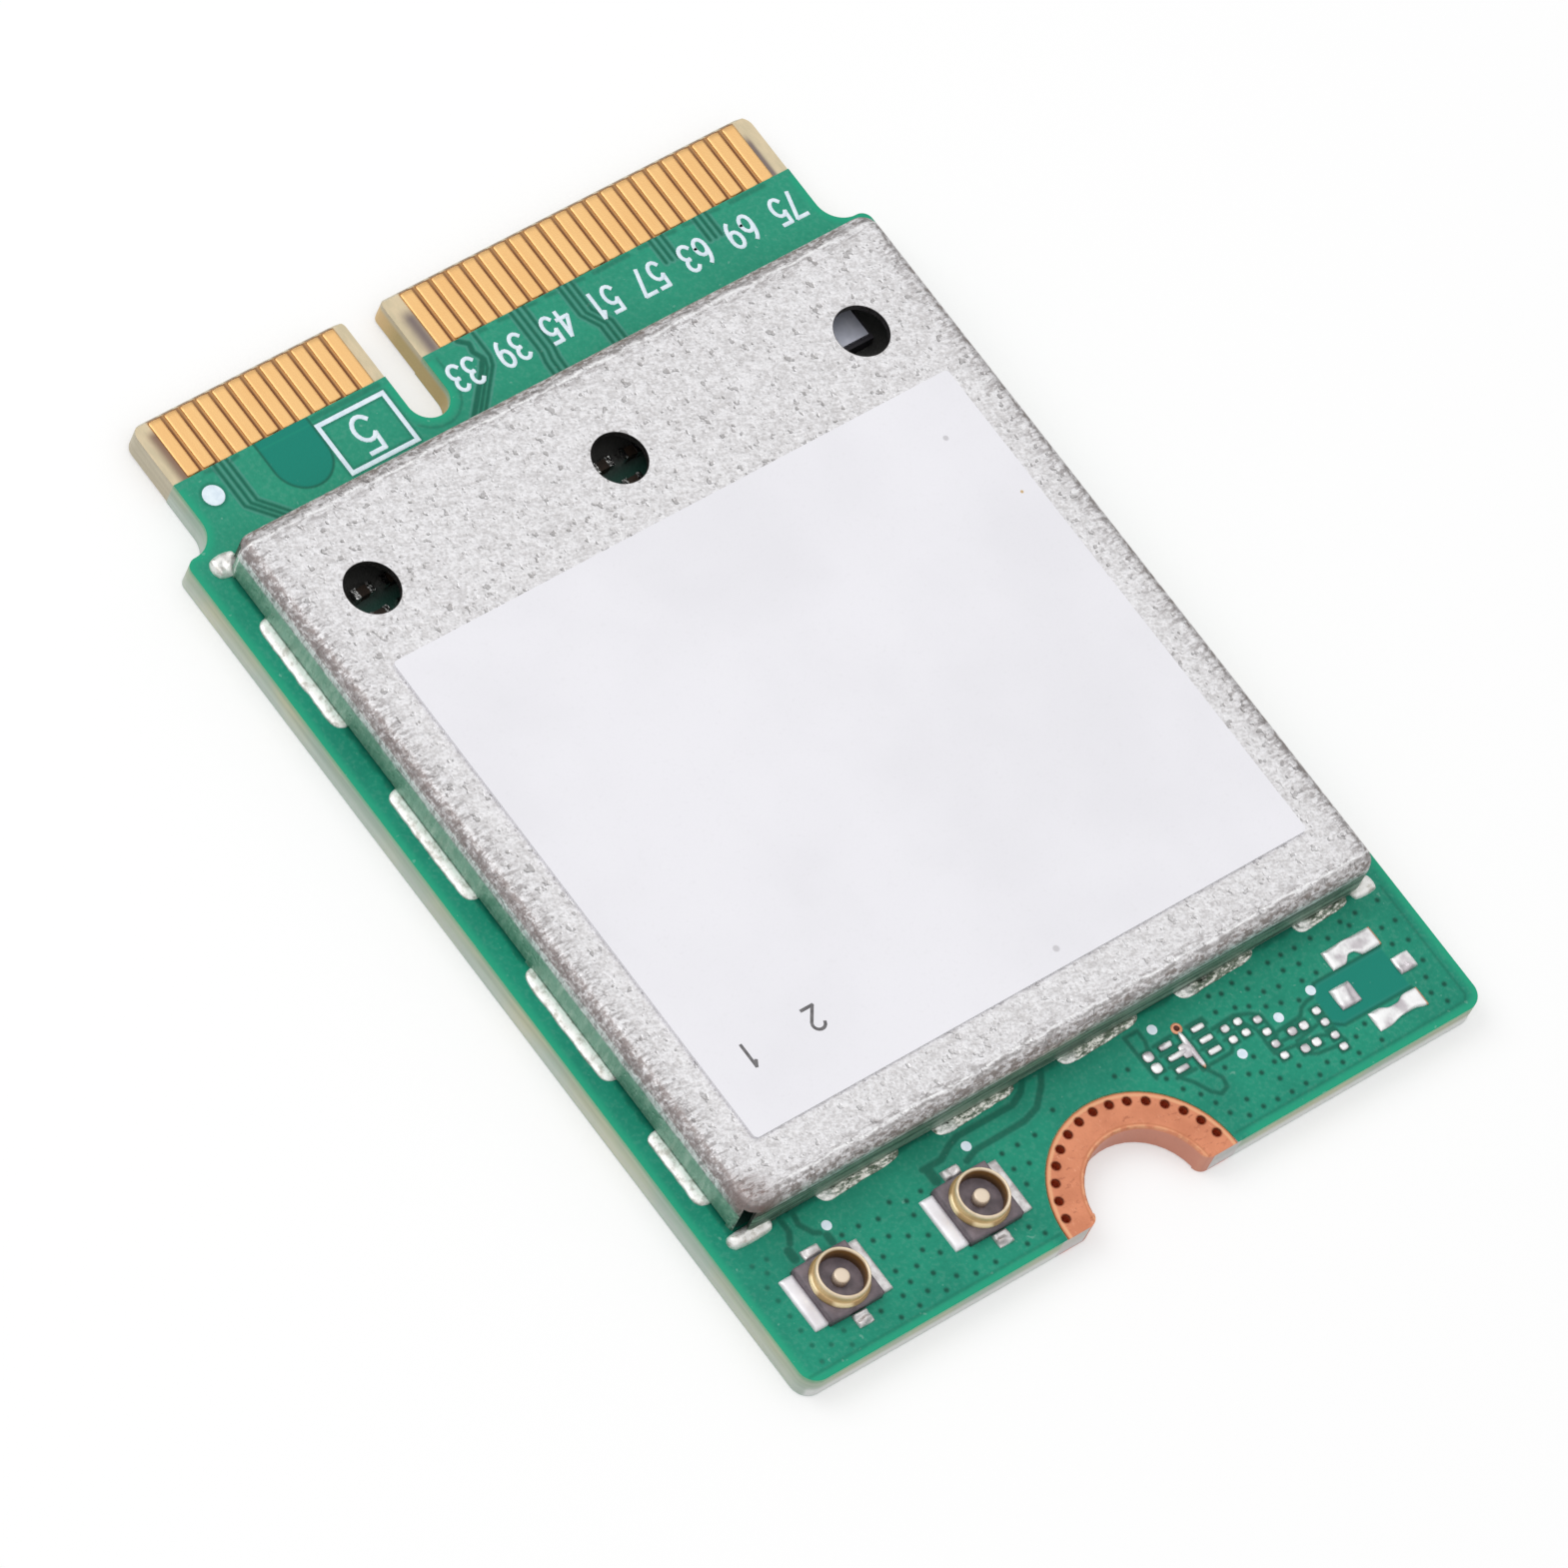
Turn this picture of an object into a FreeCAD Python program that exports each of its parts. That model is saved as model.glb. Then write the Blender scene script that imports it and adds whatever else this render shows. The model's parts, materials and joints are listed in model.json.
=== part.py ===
import FreeCAD, Part
import math
import os

V = FreeCAD.Vector

# Plug-in wireless card for a laptop, lying flat with its components up.
# X runs across the card, +Y points at the contact edge and Z = 0 is the underside.
# All sizes are in millimetres.

# Circuit board
board_width = 22.0
board_length = 30.0
board_thickness = 0.80
coat_thickness = 0.04
corner_radius = 0.50
tongue_width = 19.85
tongue_length = 3.85
shoulder_radius = 0.30
shoulder_fillet = 0.75
tongue_tip_radius = 0.40
tip_bevel_height = 0.15
tip_bevel_depth = 0.10

# Edge contacts, numbered 1 to 75 with odd numbers on top and even ones below
contact_pitch = 0.25
middle_pin = 38
notch_pin = 27.5
top_short_pins = range(1, 24, 2)
top_long_pins = range(33, 76, 2)
bottom_short_pins = range(2, 23, 2)
bottom_long_pins = range(32, 75, 2)
contact_width = 0.36
contact_length = 1.80
contact_end_chamfer = 0.06

# Keying notch between the short and long rows
notch_width = 1.20
notch_depth = 3.50
notch_mouth_radius = 0.25

# Half-round screw seat in the front edge, with its plated ground ring
seat_radius = 1.75
seat_mouth_radius = 0.30
ring_width = 1.00
plating = 0.05
ring_via_count = 15
ring_via_bore = 0.125
ring_via_plating = 0.03
ring_via_inset = 0.245
coat_clearance = 0.03
small_round_sides = 8

# Shield lid, one drawn sheet with a narrow slot down each corner, and feet
lid_margin_left = 0.83
lid_margin_right = 0.67
lid_margin_front = 4.10
lid_margin_back = 0.45
lid_height = 1.30
sheet = 0.20
bend_radius = 0.34
lid_corner_radius = 0.50
corner_slot = 0.32
corner_slot_height = 1.08
foot_lift = 0.10
front_foot_length = 2.62
front_foot_pitch = 3.88
front_foot_start = -1.41
side_foot_length = 3.50
side_foot_pitch = 5.50
side_foot_start = -0.20
side_foot_margin = 1.15
lid_hole_radius = 0.75
lid_hole_pitch = 7.89
lid_hole_from_back = 2.86
lid_hole_shift = -0.13

# Solder that holds the lid down
fillet_width = 0.28
fillet_height = 0.25
fillet_sag = 0.36
bead_radius = 0.40
bead_top_radius = 0.18
bead_height = 0.30

# Paper label on the lid
label_thickness = 0.08
label_margin_left = 1.36
label_margin_right = 1.24
label_margin_front = 1.61
label_gap_to_holes = 1.24
label_radius = 0.12

# Antenna receptacles, small coaxial sockets that the plugs press onto
socket_from_left = 2.27
socket_from_front = 1.90
socket_pitch = 4.47
base_width = 1.70
base_height = 0.30
shell_radius = 0.70
shell_wall = 0.13
shell_height = 0.72
flange_radius = 0.80
flange_thickness = 0.05
lip_radius = 0.03
leg_width = 0.60
tab_thickness = 0.08
side_tab_length = 1.50
side_tab_reach = 1.24
front_tab_width = 0.52
front_tab_reach = 1.22
signal_tab_width = 0.52
signal_tab_reach = 1.22
signal_pin_radius = 0.20
signal_pin_height = 0.62
signal_pin_chamfer = 0.06
solder_film = 0.03
solder_rim = 0.05

# Bare footprint for a third receptacle, right of the screw seat
pad_height = 0.05
spare_from_right = 2.20
spare_from_front = 1.89
spare_long_pad = (1.64, 0.58)
spare_long_pad_offset = 0.98
spare_inner_pad = (0.66, 0.64)
spare_inner_pad_offset = 0.98
spare_outer_pad = (0.58, 0.52)
spare_outer_pad_offset = 0.98

# Bare matching network between the screw seat and the spare footprint.
# Places are measured from the pad at the network's back left.
network_from_right = 8.21
network_from_front = 3.05
filter_pad = (0.42, 0.16)
filter_column_pitch = 1.06
filter_row_pitch = 0.36
bar_width = 0.18
bar_length = 1.26
bar_from_column = 0.54
bar_drop = 0.03
wide_pad = (0.32, 0.30)
wide_pad_places = ((-0.58, -0.03), (-0.58, -0.39))
square_pad = (0.27, 0.25)
square_pad_places = ((3.17, -1.28), (3.54, -1.30), (3.17, -1.83), (3.54, -1.83))
small_pad = (0.25, 0.20)
small_pad_places = ((1.67, -0.37), (2.09, -0.37), (1.67, -0.72), (2.09, -0.72),
                    (2.58, -0.58), (2.58, -0.97), (2.57, -1.35), (2.57, -1.72),
                    (4.09, -1.13), (4.09, -1.49), (4.09, -1.91), (4.09, -2.27))
test_pad_from_socket = (0.80, 1.43)
test_pad_places = ((-0.01, 0.53), (1.63, -1.15), (3.11, -0.80), (4.33, -0.60))
test_pad_radius = 0.145
test_pad_height = 0.02

# Chips sealed under the lid: length, width and height
chip_standoff = 0.05
land_width = 0.24
land_length = 0.40
land_pitch = 0.80
radio_size = (7.0, 7.0, 0.80)
amplifier_size = (3.0, 3.0, 0.70)
filter_size = (1.6, 0.9, 0.60)
regulator_size = (2.2, 2.2, 0.60)
memory_size = (2.0, 3.0, 0.55)
coil_size = (2.5, 2.0, 0.95)
crystal_size = (2.5, 2.0, 0.40)
crystal_lid_inset = 0.12
crystal_lid_thickness = 0.10

# Their places, measured from the lid's inner faces and from each other
amplifier_from_left = 1.25
amplifier_pitch = 5.10
filter_from_front = 0.75
chip_gap = 0.60
radio_shift = -0.90
column_from_right = 1.20
crystal_from_right = 1.58
crystal_from_back = 0.66

# Small two-ended parts: length, width and height, with metal end caps
capacitor_size = (0.60, 0.30, 0.30)
large_capacitor_size = (1.00, 0.50, 0.50)
resistor_size = (0.60, 0.30, 0.23)
end_cap_length = 0.15
end_cap_wall = 0.02
small_part_pitch = 0.90
large_part_pitch = 1.50
row_pitch = 0.75
back_rows_from_back = 3.00
left_rows_from_left = 1.45
middle_rows_shift = -0.50
resistor_row_shift = -4.00
large_row_from_right = 1.60
large_row_from_front = 2.00
resistor_stack_from_right = 5.60

# Places worked out from the sizes above
left_edge = -board_width / 2
right_edge = board_width / 2
front_edge = -board_length / 2
tip_edge = board_length / 2
shoulder = tip_edge - tongue_length
board_top = board_thickness
core_top = board_thickness - coat_thickness
coat_edge = tip_edge - tip_bevel_depth - contact_length
ring_radius = seat_radius + ring_width
lid_left = left_edge + lid_margin_left
lid_right = right_edge - lid_margin_right
lid_front = front_edge + lid_margin_front
lid_back = shoulder - lid_margin_back
lid_top = board_top + lid_height
lid_middle_x = (lid_left + lid_right) / 2
inner_left = lid_left + sheet
inner_right = lid_right - sheet
inner_front = lid_front + sheet
inner_back = lid_back - sheet


def block(x_span, y_span, z_span):
    """A box between the low and high value of each axis."""
    size = [high - low for low, high in (x_span, y_span, z_span)]
    return Part.makeBox(*size, V(x_span[0], y_span[0], z_span[0]))


def centred_block(centre, size, z_low):
    """A box of (length, width, height) around an (x, y) centre, standing on z_low."""
    x_span = (centre[0] - size[0] / 2, centre[0] + size[0] / 2)
    y_span = (centre[1] - size[1] / 2, centre[1] + size[1] / 2)
    return block(x_span, y_span, (z_low, z_low + size[2]))


def pad(centre, size):
    """A flat soldered pad of (length, width) on the board's top."""
    return centred_block(centre, (size[0], size[1], pad_height), board_top)


def cylinder(centre, radius, z_low, z_high):
    """An upright cylinder around an (x, y) centre."""
    return Part.makeCylinder(radius, z_high - z_low, V(centre[0], centre[1], z_low))


def flat_sided_prism(outline, z_low, z_high):
    """An upright prism on a closed outline of (x, y) points."""
    points = [V(x, y, z_low) for x, y in outline]
    return Part.Face(Part.makePolygon(points + points[:1])).extrude(V(0, 0, z_high - z_low))


def small_round(centre, radius):
    """Outline of a round feature too small to need a true circle."""
    turn = 2 * math.pi / small_round_sides
    return [(centre[0] + radius * math.cos(i * turn), centre[1] + radius * math.sin(i * turn))
            for i in range(small_round_sides)]


def small_disc(centre, radius, z_low, z_high):
    """An upright disc with a many-sided rim."""
    return flat_sided_prism(small_round(centre, radius), z_low, z_high)


def small_mound(centre, low_radius, high_radius, z_low, z_high):
    """A many-sided mound that narrows from a low radius to a high one."""
    wires = []
    for radius, z in ((low_radius, z_low), (high_radius, z_high)):
        points = [V(x, y, z) for x, y in small_round(centre, radius)]
        wires.append(Part.makePolygon(points + points[:1]))
    return Part.makeLoft(wires, True, True)


def rounded_prism(corners, z_low, z_high):
    """An upright prism. Each corner is (x, y, radius) and gets an arc tangent to both its sides."""
    edges = []
    points = [V(x, y, z_low) for x, y, radius in corners]
    ends = []
    for i, (x, y, radius) in enumerate(corners):
        here = points[i]
        back = (points[i - 1] - here).normalize()
        ahead = (points[(i + 1) % len(points)] - here).normalize()
        half_angle = back.getAngle(ahead) / 2
        inward = (back + ahead).normalize()
        reach = radius / math.tan(half_angle)
        centre = here + inward * (radius / math.sin(half_angle))
        ends.append((here + back * reach, centre - inward * radius, here + ahead * reach, radius))
    for i, (start, middle, end, radius) in enumerate(ends):
        before = ends[i - 1][2]
        if (start - before).Length > 1e-6:
            edges.append(Part.LineSegment(before, start).toShape())
        if radius > 0:
            edges.append(Part.Arc(start, middle, end).toShape())
    return Part.Face(Part.Wire(edges)).extrude(V(0, 0, z_high - z_low))


def fuse_all(shapes):
    """One solid from touching shapes."""
    return shapes[0].multiFuse(shapes[1:]).removeSplitter()


def group(shapes):
    """Like pieces that stay separate solids in one sub-part."""
    return Part.makeCompound(shapes)


def pin_x(pin):
    """Where a numbered contact lies across the card."""
    return (pin - middle_pin) * contact_pitch


def board_outline(z_low, z_high):
    """The card's plan: square front corners, stepped tongue and round-ended keying notch."""
    notch_low = pin_x(notch_pin) - notch_width / 2
    notch_high = pin_x(notch_pin) + notch_width / 2
    notch_end = tip_edge - notch_depth
    half_tongue = tongue_width / 2
    corners = [
        (left_edge, front_edge, corner_radius),
        (right_edge, front_edge, corner_radius),
        (right_edge, shoulder, shoulder_radius),
        (half_tongue, shoulder, shoulder_fillet),
        (half_tongue, tip_edge, tongue_tip_radius),
        (notch_high, tip_edge, notch_mouth_radius),
        (notch_high, notch_end, notch_width / 2),
        (notch_low, notch_end, notch_width / 2),
        (notch_low, tip_edge, notch_mouth_radius),
        (-half_tongue, tip_edge, tongue_tip_radius),
        (-half_tongue, shoulder, shoulder_fillet),
        (left_edge, shoulder, shoulder_radius),
    ]
    return rounded_prism(corners, z_low, z_high)


def ring_via_centres():
    """The small plated holes, evenly spread over the half ring."""
    radius = ring_radius - ring_via_inset
    step = math.pi / (ring_via_count + 1)
    angles = [step * (i + 1) for i in range(ring_via_count)]
    return [(radius * math.cos(a), front_edge + radius * math.sin(a)) for a in angles]


def tip_bevel(z_edge, inward):
    """The wedge taken off one long edge of the tongue's tip."""
    reach = tip_bevel_depth
    points = [V(left_edge, tip_edge - reach, z_edge), V(left_edge, tip_edge + reach, z_edge),
              V(left_edge, tip_edge + reach, z_edge + 2 * inward * tip_bevel_height)]
    wedge = Part.Face(Part.makePolygon(points + points[:1]))
    return wedge.extrude(V(board_width, 0, 0))


def mouth_centres():
    """Centres of the rounds where the screw seat meets the front edge."""
    x = math.sqrt(seat_radius ** 2 + 2 * seat_radius * seat_mouth_radius)
    return [(side * x, front_edge + seat_mouth_radius) for side in (-1, 1)]


def mouth_corners(radius):
    """What is taken off the two corners of the seat's mouth to leave a round of this radius."""
    corners = []
    for x, y in mouth_centres():
        inner_x = math.copysign(seat_radius, x) * 0.9
        touch_y = front_edge + seat_mouth_radius * seat_radius / (seat_radius + seat_mouth_radius)
        corner = block(sorted((inner_x, x)), (front_edge - 1, touch_y), (-1, board_top + 1))
        corners.append(corner.cut(cylinder((x, y), radius, -2, board_top + 2)))
    return corners


def circuit_board():
    """Glass-fibre board with its lacquer coats, bare and thinner at the tongue and the ring."""
    board = board_outline(0, board_top)
    cuts = []
    for z_span in ((-1, coat_thickness), (core_top, board_top + 1)):
        cuts.append(block((left_edge - 1, right_edge + 1), (coat_edge, tip_edge + 1), z_span))
        cuts.append(cylinder((0, front_edge), ring_radius + coat_clearance, *z_span))
    cuts.append(cylinder((0, front_edge), seat_radius + plating, -1, board_top + 1))
    for centre in ring_via_centres():
        cuts.append(small_disc(centre, ring_via_bore + ring_via_plating, -1, board_top + 1))
    cuts += mouth_corners(seat_mouth_radius - plating)
    cuts.append(tip_bevel(core_top, -1))
    cuts.append(tip_bevel(coat_thickness, 1))
    return board.cut(cuts)


def contact_row(pins, z_low):
    """One row of gold edge contacts, with chamfered leading corners."""
    contacts = []
    for pin in pins:
        low = pin_x(pin) - contact_width / 2
        high = pin_x(pin) + contact_width / 2
        tip = coat_edge + contact_length
        cut = contact_end_chamfer
        outline = [(low, coat_edge), (high, coat_edge), (high, tip - cut), (high - cut, tip),
                   (low + cut, tip), (low, tip - cut)]
        contacts.append(flat_sided_prism(outline, z_low, z_low + coat_thickness))
    return group(contacts)


def mounting_ground_ring():
    """Copper on both faces around the screw seat, joined by its plated wall and by the vias."""
    wall = seat_radius + plating
    profile = [(seat_radius, plating), (wall, 0), (ring_radius, 0), (ring_radius, coat_thickness),
               (wall, coat_thickness), (wall, core_top), (ring_radius, core_top),
               (ring_radius, board_top), (wall, board_top), (seat_radius, board_top - plating)]
    points = [V(radius, front_edge, z) for radius, z in profile]
    face = Part.Face(Part.makePolygon(points + points[:1]))
    ring = face.revolve(V(0, front_edge, 0), V(0, 0, 1), 180)
    centres = ring_via_centres()
    barrel = ring_via_bore + ring_via_plating
    sleeves = [small_disc(centre, barrel, coat_thickness, core_top) for centre in centres]
    bores = [small_disc(centre, ring_via_bore, -1, board_top + 1) for centre in centres]
    lips = []
    for centre in mouth_centres():
        lip = cylinder(centre, seat_mouth_radius, 0, board_top)
        lips.append(lip.cut(cylinder(centre, seat_mouth_radius - plating, -1, board_top + 1)))
    corners = mouth_corners(seat_mouth_radius - plating)
    lips = [lip.common(corner) for lip, corner in zip(lips, corners)]
    return ring.cut(corners).multiFuse(sleeves + lips).cut(bores).removeSplitter()


def spans(first, pitch, length, low, high):
    """Evenly pitched stretches from first on, each clipped to between low and high."""
    found = []
    start = first
    while start < high:
        if start + length > low:
            found.append((max(start, low), min(start + length, high)))
        start += pitch
    return found


def gaps_between(feet, low, high):
    """What the feet leave free between low and high."""
    marks = [low] + [mark for foot in feet for mark in foot] + [high]
    return [(marks[i], marks[i + 1]) for i in range(0, len(marks), 2) if marks[i + 1] - marks[i] > 1e-6]


def front_feet():
    """Where the front and back walls stand on the board, along X."""
    return spans(lid_left + front_foot_start, front_foot_pitch, front_foot_length,
                 lid_left + lid_corner_radius, lid_right - lid_corner_radius)


def side_feet():
    """Where the left and right walls stand on the board, along Y."""
    return spans(lid_front + side_foot_start, side_foot_pitch, side_foot_length,
                 lid_front + side_foot_margin, lid_back - lid_corner_radius)


def lid_block(inset, z_low):
    """The lid's outer or inner form: a box with its four corners and its top rim rounded."""
    low_x, high_x = lid_left + inset, lid_right - inset
    low_y, high_y = lid_front + inset, lid_back - inset
    radius = lid_corner_radius - inset
    corners = [(low_x, low_y, radius), (high_x, low_y, radius), (high_x, high_y, radius), (low_x, high_y, radius)]
    solid = rounded_prism(corners, z_low, lid_top - inset)
    top_edges = [edge for edge in solid.Edges if edge.BoundBox.ZMin > lid_top - inset - 1e-6]
    return solid.makeFillet(bend_radius - inset, top_edges)


def corner_slots():
    """A narrow upright slot through the sheet at each corner, from the board up to the bend."""
    slots = []
    reach = lid_corner_radius
    for x, inward_x in ((lid_left, 1), (lid_right, -1)):
        for y, inward_y in ((lid_front, 1), (lid_back, -1)):
            slot = block((-reach, reach), (-corner_slot / 2, corner_slot / 2),
                         (board_top - 1, board_top + corner_slot_height))
            slot.rotate(V(0, 0, 0), V(0, 0, 1), math.degrees(math.atan2(inward_y, inward_x)))
            slot.translate(V(x, y, 0))
            slots.append(slot)
    return slots


def lid_hole_centres():
    """The three round holes near the lid's back edge."""
    middle = lid_middle_x + lid_hole_shift
    return [(middle + i * lid_hole_pitch, lid_back - lid_hole_from_back) for i in (-1, 0, 1)]


def shield_can():
    """Drawn sheet lid: walls with feet, a slot down each corner and three round holes."""
    can = lid_block(0, board_top).cut(lid_block(sheet, board_top - 1))
    cuts = corner_slots()
    lift = (board_top - 1, board_top + foot_lift)
    for low, high in gaps_between(front_feet(), lid_left + lid_corner_radius, lid_right - lid_corner_radius):
        cuts.append(block((low, high), (lid_front - 1, lid_front + sheet), lift))
        cuts.append(block((low, high), (lid_back - sheet, lid_back + 1), lift))
    for low, high in gaps_between(side_feet(), lid_front + lid_corner_radius, lid_back - lid_corner_radius):
        cuts.append(block((lid_left - 1, lid_left + sheet), (low, high), lift))
        cuts.append(block((lid_right - sheet, lid_right + 1), (low, high), lift))
    for centre in lid_hole_centres():
        cuts.append(cylinder(centre, lid_hole_radius, lid_top - 2 * sheet, lid_top + 1))
    return can.cut(cuts)


def solder_fillet(start, along, outward, length):
    """A hollow-faced solder strip in the corner between the board and a wall of the lid."""
    up = V(0, 0, 1)
    foot = start + outward * fillet_width
    crown = start + up * fillet_height
    sag = start + outward * (fillet_width * fillet_sag) + up * (fillet_height * fillet_sag)
    edges = [Part.LineSegment(start, foot).toShape(), Part.Arc(foot, sag, crown).toShape(),
             Part.LineSegment(crown, start).toShape()]
    return Part.Face(Part.Wire(edges)).extrude(along * length)


def wall_solder(feet, wall, outward):
    """The solder strips along one wall, one at each foot. The wall is at x or y = wall."""
    strips = []
    for low, high in feet:
        if outward.x:
            start = V(wall, low, board_top)
            along = V(0, 1, 0)
        else:
            start = V(low, wall, board_top)
            along = V(1, 0, 0)
        strips.append(solder_fillet(start, along, outward, high - low))
    return group(strips)


def corner_solder(can, strips):
    """Four solder beads that close the lid's corner slots at the board."""
    beads = []
    for x in (lid_left, lid_right):
        for y in (lid_front, lid_back):
            bead = small_mound((x, y), bead_radius, bead_top_radius, board_top, board_top + bead_height)
            beads.append(bead.cut([can] + strips))
    return group(beads)


def shield_label():
    """Thin paper label stuck on the lid."""
    low_x = lid_left + label_margin_left
    low_y = lid_front + label_margin_front
    high_x = lid_right - label_margin_right
    high_y = lid_back - lid_hole_from_back - lid_hole_radius - label_gap_to_holes
    corners = [(low_x, low_y, label_radius), (high_x, low_y, label_radius),
               (high_x, high_y, label_radius), (low_x, high_y, label_radius)]
    return rounded_prism(corners, lid_top, lid_top + label_thickness)


def socket_centre(number):
    """Centre of antenna receptacle 0 or 1 on the board."""
    return (left_edge + socket_from_left + number * socket_pitch, front_edge + socket_from_front)


def tab_heights():
    """Low and high side of the receptacle's tabs, which lie on a film of solder."""
    return (board_top + solder_film, board_top + solder_film + tab_thickness)


def socket_ground_shell(centre):
    """Contact ring with its flange, legs through the base, two side tabs and a front tab."""
    x, y = centre
    base_top = board_top + base_height
    top = board_top + shell_height
    inner = shell_radius - shell_wall
    profile = [(inner, base_top), (flange_radius, base_top), (flange_radius, base_top + flange_thickness),
               (shell_radius, base_top + 2 * flange_thickness), (shell_radius, top - lip_radius),
               (shell_radius - lip_radius, top), (inner + lip_radius, top), (inner, top - lip_radius)]
    points = [V(x + radius, y, z) for radius, z in profile]
    ring = Part.Face(Part.makePolygon(points + points[:1])).revolve(V(x, y, 0), V(0, 0, 1), 360)
    tab_z = tab_heights()
    leg_z = (tab_z[0], base_top + flange_thickness / 2)
    half_leg = leg_width / 2
    half_tab = side_tab_length / 2
    pieces = [ring]
    for side in (-1, 1):
        leg_x = sorted((x + side * inner, x + side * flange_radius))
        tab_x = sorted((x + side * inner, x + side * side_tab_reach))
        pieces.append(block(leg_x, (y - half_leg, y + half_leg), leg_z))
        pieces.append(block(tab_x, (y - half_tab, y + half_tab), tab_z))
    front_x = (x - front_tab_width / 2, x + front_tab_width / 2)
    pieces.append(block(front_x, (y - flange_radius, y - inner), leg_z))
    pieces.append(block(front_x, (y - front_tab_reach, y - inner), tab_z))
    inside = cylinder(centre, inner, tab_z[0] - 1, top + 1)
    return fuse_all(pieces).cut(inside)


def socket_signal_contact(centre):
    """Centre post with its own tab, which leaves the base on the lid's side."""
    x, y = centre
    tab_z = tab_heights()
    post = cylinder(centre, signal_pin_radius, tab_z[0], board_top + signal_pin_height)
    rim = [edge for edge in post.Edges if edge.BoundBox.ZMin > board_top + signal_pin_height - 1e-6]
    post = post.makeChamfer(signal_pin_chamfer, rim)
    tab_x = (x - signal_tab_width / 2, x + signal_tab_width / 2)
    return fuse_all([post, block(tab_x, (y, y + signal_tab_reach), tab_z)])


def socket_base(centre, shell, contact):
    """Moulded square base, formed around the metal."""
    size = (base_width, base_width, base_height)
    return centred_block(centre, size, board_top).cut([shell, contact])


def socket_solder(centre):
    """Solder under the two side tabs, the front tab and the signal tab, outside the base."""
    x, y = centre
    half_base = base_width / 2
    film_z = (board_top, board_top + solder_film)
    half_side = side_tab_length / 2 + solder_rim
    pieces = []
    for side in (-1, 1):
        film_x = sorted((x + side * half_base, x + side * (side_tab_reach + solder_rim)))
        pieces.append(block(film_x, (y - half_side, y + half_side), film_z))
    half_front = front_tab_width / 2 + solder_rim
    pieces.append(block((x - half_front, x + half_front),
                        (y - front_tab_reach - solder_rim, y - half_base), film_z))
    half_signal = signal_tab_width / 2 + solder_rim
    pieces.append(block((x - half_signal, x + half_signal),
                        (y + half_base, y + signal_tab_reach + solder_rim), film_z))
    return group(pieces)


def spare_receptacle_pads():
    """The four bare pads of a receptacle that isn't fitted."""
    x = right_edge - spare_from_right
    y = front_edge + spare_from_front
    return group([
        pad((x, y + spare_long_pad_offset), spare_long_pad),
        pad((x, y - spare_long_pad_offset), spare_long_pad),
        pad((x - spare_inner_pad_offset, y), spare_inner_pad),
        pad((x + spare_outer_pad_offset, y), spare_outer_pad),
    ])


def matching_network_pads():
    """Bare pads for a filter, with a bar through its middle, and for nine small parts."""
    x = right_edge - network_from_right
    y = front_edge + network_from_front
    pads = []
    for row in range(3):
        if row != 1:
            pads.append(pad((x, y - row * filter_row_pitch), filter_pad))
        pads.append(pad((x + filter_column_pitch, y - row * filter_row_pitch), filter_pad))
    bar_x = x + bar_from_column
    bar_y = y - filter_row_pitch - bar_drop
    bar = pad((bar_x, bar_y), (bar_width, bar_length))
    arm_length = bar_from_column + filter_pad[0] / 2
    arm = pad((bar_x - arm_length / 2, y - filter_row_pitch), (arm_length, filter_pad[1]))
    pads.append(fuse_all([bar, arm]))
    for places, size in ((wide_pad_places, wide_pad), (square_pad_places, square_pad),
                         (small_pad_places, small_pad)):
        pads += [pad((x + dx, y + dy), size) for dx, dy in places]
    return group(pads)


def test_pads():
    """Round test points: one behind each receptacle and four by the matching network."""
    centres = []
    for number in (0, 1):
        x, y = socket_centre(number)
        centres.append((x + test_pad_from_socket[0], y + test_pad_from_socket[1]))
    x = right_edge - network_from_right
    y = front_edge + network_from_front
    centres += [(x + dx, y + dy) for dx, dy in test_pad_places]
    return group([small_disc(centre, test_pad_radius, board_top, board_top + test_pad_height)
                  for centre in centres])


def filter_centre(number):
    """Centre of the filter of antenna 0 or 1, just inside the lid's front wall."""
    x = inner_left + amplifier_from_left + amplifier_size[0] / 2 + number * amplifier_pitch
    return (x, inner_front + filter_from_front + filter_size[1] / 2)


def amplifier_centre(number):
    """Centre of the amplifier of antenna 0 or 1, behind its filter."""
    x, y = filter_centre(number)
    return (x, y + filter_size[1] / 2 + chip_gap + amplifier_size[1] / 2)


def radio_centre():
    """Centre of the radio chip, half way between the amplifiers and the rows at the back."""
    low = amplifier_centre(0)[1] + amplifier_size[1] / 2
    high = inner_back - back_rows_from_back - capacitor_size[1] / 2
    return (lid_middle_x + radio_shift, (low + high) / 2)


def coil_centre():
    """Centre of the power coil, in the column inside the lid's right wall."""
    return (inner_right - column_from_right - coil_size[0] / 2, radio_centre()[1])


def regulator_centre():
    """Centre of the power regulator, behind the coil."""
    x, y = coil_centre()
    return (x, y + coil_size[1] / 2 + chip_gap + regulator_size[1] / 2)


def memory_centre():
    """Centre of the settings memory, in front of the coil."""
    x, y = coil_centre()
    return (x, y - coil_size[1] / 2 - chip_gap - memory_size[1] / 2)


def crystal_centre():
    """Centre of the crystal, in the back right corner, where the right hole shows it."""
    return (inner_right - crystal_from_right - crystal_size[0] / 2,
            inner_back - crystal_from_back - crystal_size[1] / 2)


def chip(centre, size):
    """A sealed chip body, held off the board by its solder lands."""
    return centred_block(centre, size, board_top + chip_standoff)


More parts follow.
